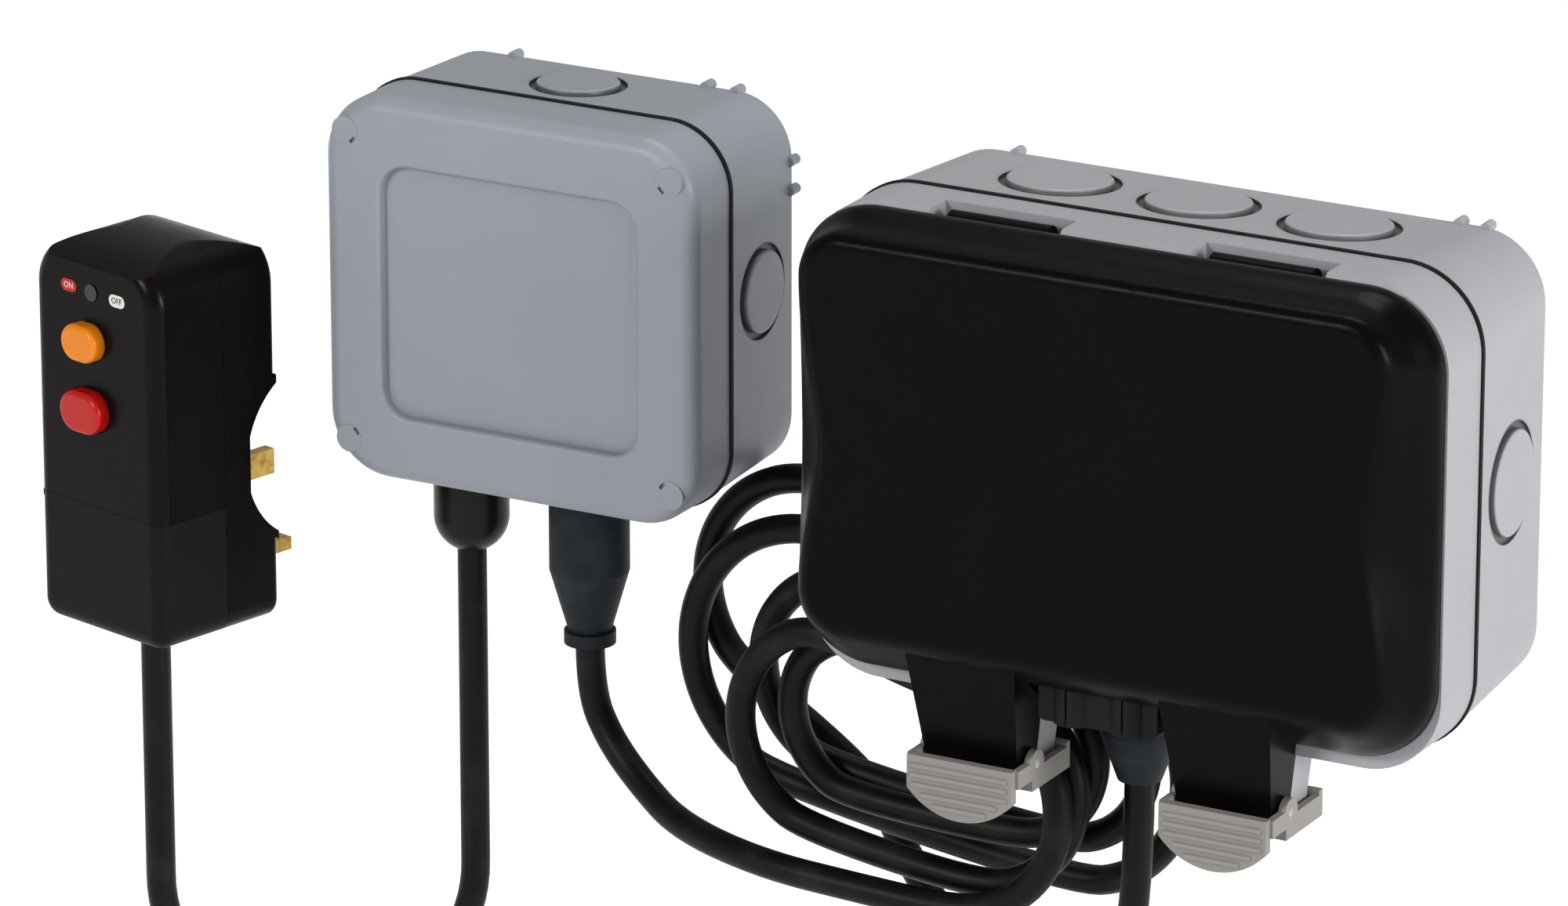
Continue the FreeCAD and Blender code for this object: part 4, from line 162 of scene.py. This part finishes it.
def coil_turns():
    """Fourteen to seventeen points for each turn, drifting evenly back to the wall."""
    points = []
    for turn, (right, left, start) in enumerate(TURNS):
        ring = [around(right, heading) + (heading / LOBE_RIGHT[-1] * RIGHT_END,) for heading in LOBE_RIGHT]
        ring += [UNDER_BOX + (UNDER_BOX_AT,), BOX_CORNER + (BOX_CORNER_AT,)]
        steps = round((LOBE_END - start) / LOBE_STEP)
        for step in range(steps + 1):
            share = step / steps
            done = LEFT_START + (LEFT_END - LEFT_START) * share
            ring.append(around(left, start + (LOBE_END - start) * share) + (done,))
        if turn == len(TURNS) - 1:
            ring.pop()
        for x, z, done in ring:
            points.append((x, COIL_FRONT + (COIL_BACK - COIL_FRONT) * (turn + done) / len(TURNS), z))
    return points


supply_cable = cable("supply_cable", SUPPLY_ROUTE)
socket_cable = cable("socket_cable", LEAD_ROUTE + coil_turns() + DROP_ROUTE)


# Finishes: the shader maths is written as plain expressions

class Value:
    """A number or colour on its way through a finish."""

    def __init__(self, finish, socket):
        self.finish = finish
        self.socket = socket

    def maths(self, operation, *others, swapped=False):
        terms = [self, *others]
        if swapped:
            terms.reverse()
        return self.finish.node("ShaderNodeMath", {"operation": operation}, dict(enumerate(terms)))

    def __add__(self, other):
        return self.maths("ADD", other)

    __radd__ = __add__

    def __mul__(self, other):
        return self.maths("MULTIPLY", other)

    __rmul__ = __mul__

    def __sub__(self, other):
        return self.maths("SUBTRACT", other)

    def __rsub__(self, other):
        return self.maths("SUBTRACT", other, swapped=True)

    def __pow__(self, other):
        return self.maths("POWER", other)

    def above(self, edge, soft):
        """0 below the edge, 1 above it, with a soft step."""
        return self.finish.node("ShaderNodeMapRange", {"interpolation_type": "SMOOTHSTEP"},
                                {0: self, 1: edge - soft, 2: edge + soft})


class Finish:
    """A material with its own nodes."""

    def __init__(self, name):
        self.material = bpy.data.materials.new(name)
        self.material.use_nodes = True
        self.tree = self.material.node_tree
        self.shader = self.tree.nodes["Principled BSDF"]
        self.place = self.node("ShaderNodeTexCoord", {}, {}, "Object")

    def node(self, kind, settings, sockets, output=0):
        made = self.tree.nodes.new(kind)
        for name, setting in settings.items():
            setattr(made, name, setting)
        for key, value in sockets.items():
            self.feed(made.inputs[key], value)
        return Value(self, made.outputs[output])

    def feed(self, socket, value):
        if isinstance(value, Value):
            self.tree.links.new(value.socket, socket)
        else:
            socket.default_value = value

    def set(self, **sockets):
        for name, value in sockets.items():
            self.feed(self.shader.inputs[name.replace("_", " ")], value)

    def noise(self, size, detail=2.0, stretch=None):
        """Cloudy variation whose blobs are about size millimetres across."""
        place = self.place
        if stretch:
            place = self.node("ShaderNodeVectorMath", {"operation": "MULTIPLY"}, {0: place, 1: stretch})
        return self.node("ShaderNodeTexNoise", {},
                         {"Vector": place, "Scale": 1 / (size * MM), "Detail": detail})

    def split(self, vector):
        """The three numbers of a vector."""
        parts = self.node("ShaderNodeSeparateXYZ", {}, {0: vector})
        return [parts, *(Value(self, output) for output in parts.socket.node.outputs[1:])]

    def maximum(self, first, *others):
        for other in others:
            first = first.maths("MAXIMUM", other)
        return first

    def cells(self, size):
        """Round grains about size millimetres across."""
        return self.node("ShaderNodeTexVoronoi", {"feature": "F1"},
                         {"Vector": self.place, "Scale": 1 / (size * MM)}, "Distance")

    def mix(self, share, first, second):
        return self.node("ShaderNodeMix", {"data_type": "RGBA", "clamp_factor": True},
                         {0: share, 6: first, 7: second}, 2)

    def bump(self, height, depth):
        """Raises the surface by height times depth millimetres."""
        return self.node("ShaderNodeBump", {}, {"Height": height, "Distance": depth * MM, "Strength": 1.0})


def shade(red, green, blue):
    """A colour as it looks on screen, from 0 to 255."""
    def linear(value):
        value /= 255
        return value / 12.92 if value <= 0.04045 else ((value + 0.055) / 1.055) ** 2.4
    return (linear(red), linear(green), linear(blue), 1.0)


# Knock-outs whose grooves get painted shade: the axis they stand along, the centre on the other two axes,
# the disc's and the groove's radius, and how far out from the object's middle the axis must be
BOX_KNOCKS = [
    ("Z", (-44.5, -27), 15.5, 18.1, (60, 90)),
    ("Z", (0, -27), 15.5, 18.1, (60, 90)),
    ("Z", (44.5, -27), 15.5, 18.1, (60, 90)),
    ("X", (-27, 2.5), 15.5, 18.1, (90, 120)),
]
JB_KNOCKS = [
    ("Z", (-207.5, -22), 12.4, 14.8, (70, 90)),
    ("X", (-22, 20), 12.4, 14.8, (-150, -140)),
]
GROOVE_EDGE = 0.3
# Painted shade: the dark colour laid into the grooves round the knock-outs
GROOVE_SHADE_PAINT = shade(30, 30, 34)


def painted_groove_shade(finish, knocks):
    """1 in the grooves round the knock-outs, where shade is painted into the colour, and 0 elsewhere."""
    axes = dict(zip("XYZ", finish.split(finish.place)))
    masks = []
    for axis, centre, disc, groove, (near, far) in knocks:
        across = [axes[letter] for letter in "XYZ" if letter != axis]
        away = sum(((value - middle * MM) ** 2 for value, middle in zip(across, centre)), 0.0) ** 0.5
        past_disc = away.above(disc * MM, GROOVE_EDGE * MM)
        past_groove = away.above(groove * MM, GROOVE_EDGE * MM)
        ring = past_disc * (1 - past_groove)
        level = axes[axis]
        masks.append(ring * level.above(near * MM, MM) * (1 - level.above(far * MM, MM)))
    return finish.maximum(*masks)


def moulded(name, colour, light, roughness, grain, depth, coat=0.0, shine=0.5, knocks=None):
    """Moulded plastic: spark grain, faint flow marks in the colour and uneven gloss."""
    finish = Finish(name)
    flow = finish.noise(28, 3)
    specks = finish.noise(grain, 2)
    blotches = finish.noise(6, 4)
    plain = finish.mix(flow * 0.6 + specks * 0.4, shade(*colour), shade(*light))
    if knocks:
        # Painted shade: the grooves round the knock-outs are darkened in the colour
        plain = finish.mix(painted_groove_shade(finish, knocks) * 0.8, plain, GROOVE_SHADE_PAINT)
    finish.set(
        Base_Color=plain,
        Roughness=roughness - 0.08 + blotches * 0.16,
        Normal=finish.bump(specks, depth),
        Coat_Weight=coat,
        Coat_Roughness=0.25,
        Specular_IOR_Level=shine,
    )
    return finish.material


def rubber(name, colour, light, roughness, grain, depth):
    """Rubber: dull, with fine dust in its grain."""
    finish = Finish(name)
    grains = finish.cells(grain)
    dust = finish.noise(9, 5)
    finish.set(
        Base_Color=finish.mix(dust.above(0.56, 0.16) * 0.7 + grains * 0.3, shade(*colour), shade(*light)),
        Roughness=roughness + dust * 0.12,
        Normal=finish.bump(grains, depth),
        Specular_IOR_Level=0.15,
    )
    return finish.material


def cable_jacket(name):
    """Extruded cable: a smooth black skin with a fine grain and scuffs."""
    finish = Finish(name)
    scuffs = finish.noise(14, 6)
    fine = finish.noise(0.5, 2)
    finish.set(
        Base_Color=finish.mix(scuffs.above(0.6, 0.12), shade(12, 11, 12), shade(30, 29, 29)),
        Roughness=0.36 + scuffs * 0.18,
        Normal=finish.bump(fine, 0.012),
        Specular_IOR_Level=0.14,
    )
    return finish.material


def metal(name, colour, dull, roughness, scratch):
    """Metal with brushed lines across it and a duller film in patches."""
    finish = Finish(name)
    film = finish.noise(2.5, 4)
    lines = finish.noise(0.5, 2, scratch)
    finish.set(
        Base_Color=finish.mix(film.above(0.55, 0.2), shade(*colour), shade(*dull)),
        Metallic=1.0,
        Roughness=roughness + film * 0.18 + lines * 0.1,
        Normal=finish.bump(lines, 0.006),
    )
    return finish.material


def clear(name):
    """Smoky see-through plastic."""
    finish = Finish(name)
    smoke = finish.noise(1.2)
    finish.set(
        Base_Color=finish.mix(smoke, shade(40, 36, 34), shade(60, 56, 52)),
        Roughness=smoke * 0.1 + 0.04,
        Transmission_Weight=0.7,
        IOR=1.49,
    )
    return finish.material


# Moulded plastics: two near colours, the roughness, and the grain's size and depth in millimetres
MOULDED = {
    "box_grey": ((161, 158, 163), (172, 169, 174), 0.52, 0.4, 0.03, {"knocks": BOX_KNOCKS}),
    "frame_grey": ((160, 158, 163), (171, 169, 174), 0.5, 0.4, 0.03, {}),
    "lid_black": ((7, 4, 4), (12, 8, 8), 0.3, 0.3, 0.006, {"shine": 0.05}),
    "latch_grey": ((137, 133, 129), (149, 145, 140), 0.55, 0.35, 0.02, {}),
    "jb_grey": ((141, 146, 153), (151, 156, 163), 0.44, 0.5, 0.02, {"knocks": JB_KNOCKS}),
    "jb_cap_grey": ((140, 145, 152), (150, 155, 162), 0.42, 0.4, 0.01, {}),
    "gland_black": ((18, 16, 16), (26, 24, 24), 0.3, 0.5, 0.006, {"shine": 0.15}),
    "plug_gloss": ((9, 5, 5), (14, 9, 8), 0.27, 0.45, 0.01, {"shine": 0.09}),
    "plug_matt": ((15, 15, 17), (21, 21, 24), 0.42, 0.3, 0.03, {"shine": 0.08}),
    "white": ((226, 224, 218), (236, 235, 230), 0.3, 0.6, 0.008, {"coat": 0.2}),
    "inner_grey": ((120, 120, 118), (134, 134, 131), 0.5, 0.4, 0.02, {}),
    "orange": ((232, 128, 14), (240, 142, 24), 0.26, 0.6, 0.01, {"shine": 0.3}),
    "red": ((180, 14, 10), (196, 24, 16), 0.24, 0.6, 0.01, {"shine": 0.3}),
    "board_green": ((26, 88, 52), (34, 104, 62), 0.35, 0.8, 0.01, {"coat": 0.3}),
    "ceramic": ((222, 216, 202), (232, 228, 216), 0.4, 0.3, 0.01, {}),
}

# Metals: the bright and the dull colour, the roughness and how the brushed lines are stretched
METALS = {
    "brass": ((214, 176, 96), (176, 138, 70), 0.22, (1, 1, 0.12)),
    "steel": ((196, 196, 194), (150, 150, 150), 0.28, (0.12, 1, 1)),
    "copper": ((196, 112, 70), (150, 80, 50), 0.3, (0.1, 1, 1)),
    "iron": ((92, 92, 94), (70, 68, 66), 0.45, (1, 0.2, 1)),
}

FINISHES = {
    "gasket": rubber("gasket", (16, 16, 17), (26, 26, 27), 0.55, 0.4, 0.02),
    "boot_rubber": rubber("boot_rubber", (24, 29, 33), (44, 50, 55), 0.5, 0.35, 0.06),
    "cable_black": cable_jacket("cable_black"),
    "clear": clear("clear"),
}
for finish_name, (*terms, extras) in MOULDED.items():
    FINISHES[finish_name] = moulded(finish_name, *terms, **extras)
for finish_name, terms in METALS.items():
    FINISHES[finish_name] = metal(finish_name, *terms)

NODE_FINISHES = {
    "box_grey": "back_box",
    "frame_grey": "front_frame",
    "lid_black": "lid",
    "latch_grey": "latch_left latch_right",
    "jb_grey": "jb_box jb_cover",
    "jb_cap_grey": "jb_screw_caps",
    "gasket": "box_seal lid_seal cord_seal jb_seal plug_grommet",
    "boot_rubber": "socket_boot jb_boot",
    "gland_black": "jb_gland_dome socket_locknut jb_locknuts",
    "plug_gloss": "plug_front_case plug_rear_case",
    "plug_matt": "plug_terminal_cover",
    "white": "socket_plate rocker_left rocker_right socket_housing contact_carrier",
    "inner_grey": "shutter_left shutter_right terminal_block cord_grip",
    "orange": "reset_button status_flag",
    "red": "test_button",
    "brass": "live_contacts neutral_contacts earth_contacts terminal_sleeves earth_pin line_pin neutral_pin "
             "fuse_clips",
    "steel": "hinge_pins latch_pins plate_screws frame_screws jb_cover_screws terminal_screws reset_spring "
             "test_spring plug_case_screws",
    "copper": "trip_solenoid",
    "iron": "sensing_toroid",
    "board_green": "plug_circuit_board",
    "clear": "window_lens",
    "ceramic": "fuse_cartridge",
    "cable_black": "cord_supply cord_lead cord_coil cord_drop",
}


def dress(item, finish):
    item.data.materials.clear()
    item.data.materials.append(FINISHES[finish])


for finish_name, names in NODE_FINISHES.items():
    for node_name in names.split():
        dress(nodes[node_name], finish_name)

dress(supply_cable, "cable_black")
dress(socket_cable, "cable_black")
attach(supply_cable, "base")
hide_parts("cord_supply")
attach(socket_cable, "base")
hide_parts("cord_lead", "cord_coil", "cord_drop")


# The plug's two state marks, beside its window

PLUG_PLACE = Matrix.Translation((-0.3148, -0.06, -0.0327)) @ Matrix.Rotation(math.radians(-15), 4, "Z")
PLUG_FACE = -46 * MM
MARK_HALF_WIDTH, MARK_HALF_HEIGHT, MARK_THICKNESS = 3.4 * MM, 1.9 * MM, 0.15 * MM
WORD_HEIGHT, WORD_DEPTH, WORD_LIFT = 2.6 * MM, 0.04 * MM, 0.03 * MM


def rounded_plate(name):
    """A thin plate with half-round ends, its back on the plug's face."""
    ring = []
    for side, start in ((1, -90), (-1, 90)):
        for step in range(9):
            turn = math.radians(start + step * 22.5)
            across = side * (MARK_HALF_WIDTH - MARK_HALF_HEIGHT) + MARK_HALF_HEIGHT * math.cos(turn)
            ring.append((across, MARK_HALF_HEIGHT * math.sin(turn)))
    shape = bmesh.new()
    front = [shape.verts.new((x, -MARK_THICKNESS, z)) for x, z in ring]
    back = [shape.verts.new((x, 0, z)) for x, z in ring]
    shape.faces.new(front)
    shape.faces.new(reversed(back))
    for i, corner in enumerate(front):
        shape.faces.new((corner, back[i], back[i - 1], front[i - 1]))
    bmesh.ops.recalc_face_normals(shape, faces=shape.faces)
    mesh = bpy.data.meshes.new(name)
    shape.to_mesh(mesh)
    shape.free()
    return bpy.data.objects.new(name, mesh)


def lettering(name, word):
    text = bpy.data.curves.new(name, "FONT")
    text.body = word
    text.size = WORD_HEIGHT
    text.align_x = "CENTER"
    text.align_y = "CENTER"
    text.extrude = WORD_DEPTH
    return bpy.data.objects.new(name, text)


def state_mark(name, across, level, word, plate_finish, word_finish):
    """A rounded plate printed on the plug's face, with its word on it."""
    plate = rounded_plate(name)
    letters = lettering(name + "_word", word)
    spot = PLUG_PLACE @ Matrix.Translation((across * MM, PLUG_FACE, level * MM))
    upright = Matrix.Rotation(math.pi / 2, 4, "X")
    plate.matrix_world = spot
    letters.matrix_world = spot @ Matrix.Translation((0, -MARK_THICKNESS - WORD_LIFT, 0)) @ upright
    for item, finish in ((plate, plate_finish), (letters, word_finish)):
        bpy.context.scene.collection.objects.link(item)
        dress(item, finish)
        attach(item, "base")


state_mark("on_mark", -10.5, 47.5, "ON", "red", "white")
state_mark("off_mark", 10.6, 47, "OFF", "white", "cable_black")


# Floor and light

FLOOR_LEVEL = cad_low.z - 0.5 * MM
FLOOR_GLOW = 0.45
SKY_STRENGTH = 0.38


def lay_floor():
    mesh = bpy.data.meshes.new("floor")
    mesh.from_pydata([(-6, -6, 0), (6, -6, 0), (6, 6, 0), (-6, 6, 0)], [], [(0, 1, 2, 3)])
    floor = bpy.data.objects.new("floor", mesh)
    floor.location.z = FLOOR_LEVEL
    bpy.context.scene.collection.objects.link(floor)
    finish = Finish("floor_white")
    faint = finish.noise(40, 2)
    seen = finish.maximum(*[finish.node("ShaderNodeLightPath", {}, {}, ray)
                            for ray in ("Is Camera Ray", "Is Glossy Ray", "Is Transmission Ray")])
    finish.set(
        Base_Color=finish.mix(faint, shade(236, 236, 236), shade(240, 240, 240)),
        Roughness=0.9,
        Emission_Color=finish.mix(seen, shade(0, 0, 0), shade(255, 255, 255)),
        Emission_Strength=FLOOR_GLOW,
        Specular_IOR_Level=0.0,
    )
    floor.data.materials.append(finish.material)


def softbox(name, place, aim, width, height, watts):
    panel = bpy.data.lights.new(name, "AREA")
    panel.shape = "RECTANGLE"
    panel.size = width
    panel.size_y = height
    panel.energy = watts
    lamp = bpy.data.objects.new(name, panel)
    lamp.location = place
    lamp.rotation_euler = (Vector(aim) - Vector(place)).to_track_quat("-Z", "Y").to_euler()
    bpy.context.scene.collection.objects.link(lamp)


def light_room():
    world = bpy.data.worlds.new("studio")
    bpy.context.scene.world = world
    world.use_nodes = True
    sky = world.node_tree.nodes["Background"]
    sky.inputs["Color"].default_value = (1, 1, 1, 1)
    sky.inputs["Strength"].default_value = SKY_STRENGTH
    softbox("key", (-0.9, -2.2, 1.0), (-0.1, 0, 0), 0.7, 0.5, 25)
    softbox("side", (2.2, -0.5, 0.5), (0, 0, 0), 0.7, 1.0, 38)
    softbox("top", (-0.2, 0.6, 1.6), (-0.1, 0, 0), 0.9, 0.3, 8)
    bpy.context.scene.view_settings.view_transform = "Standard"


lay_floor()
light_room()
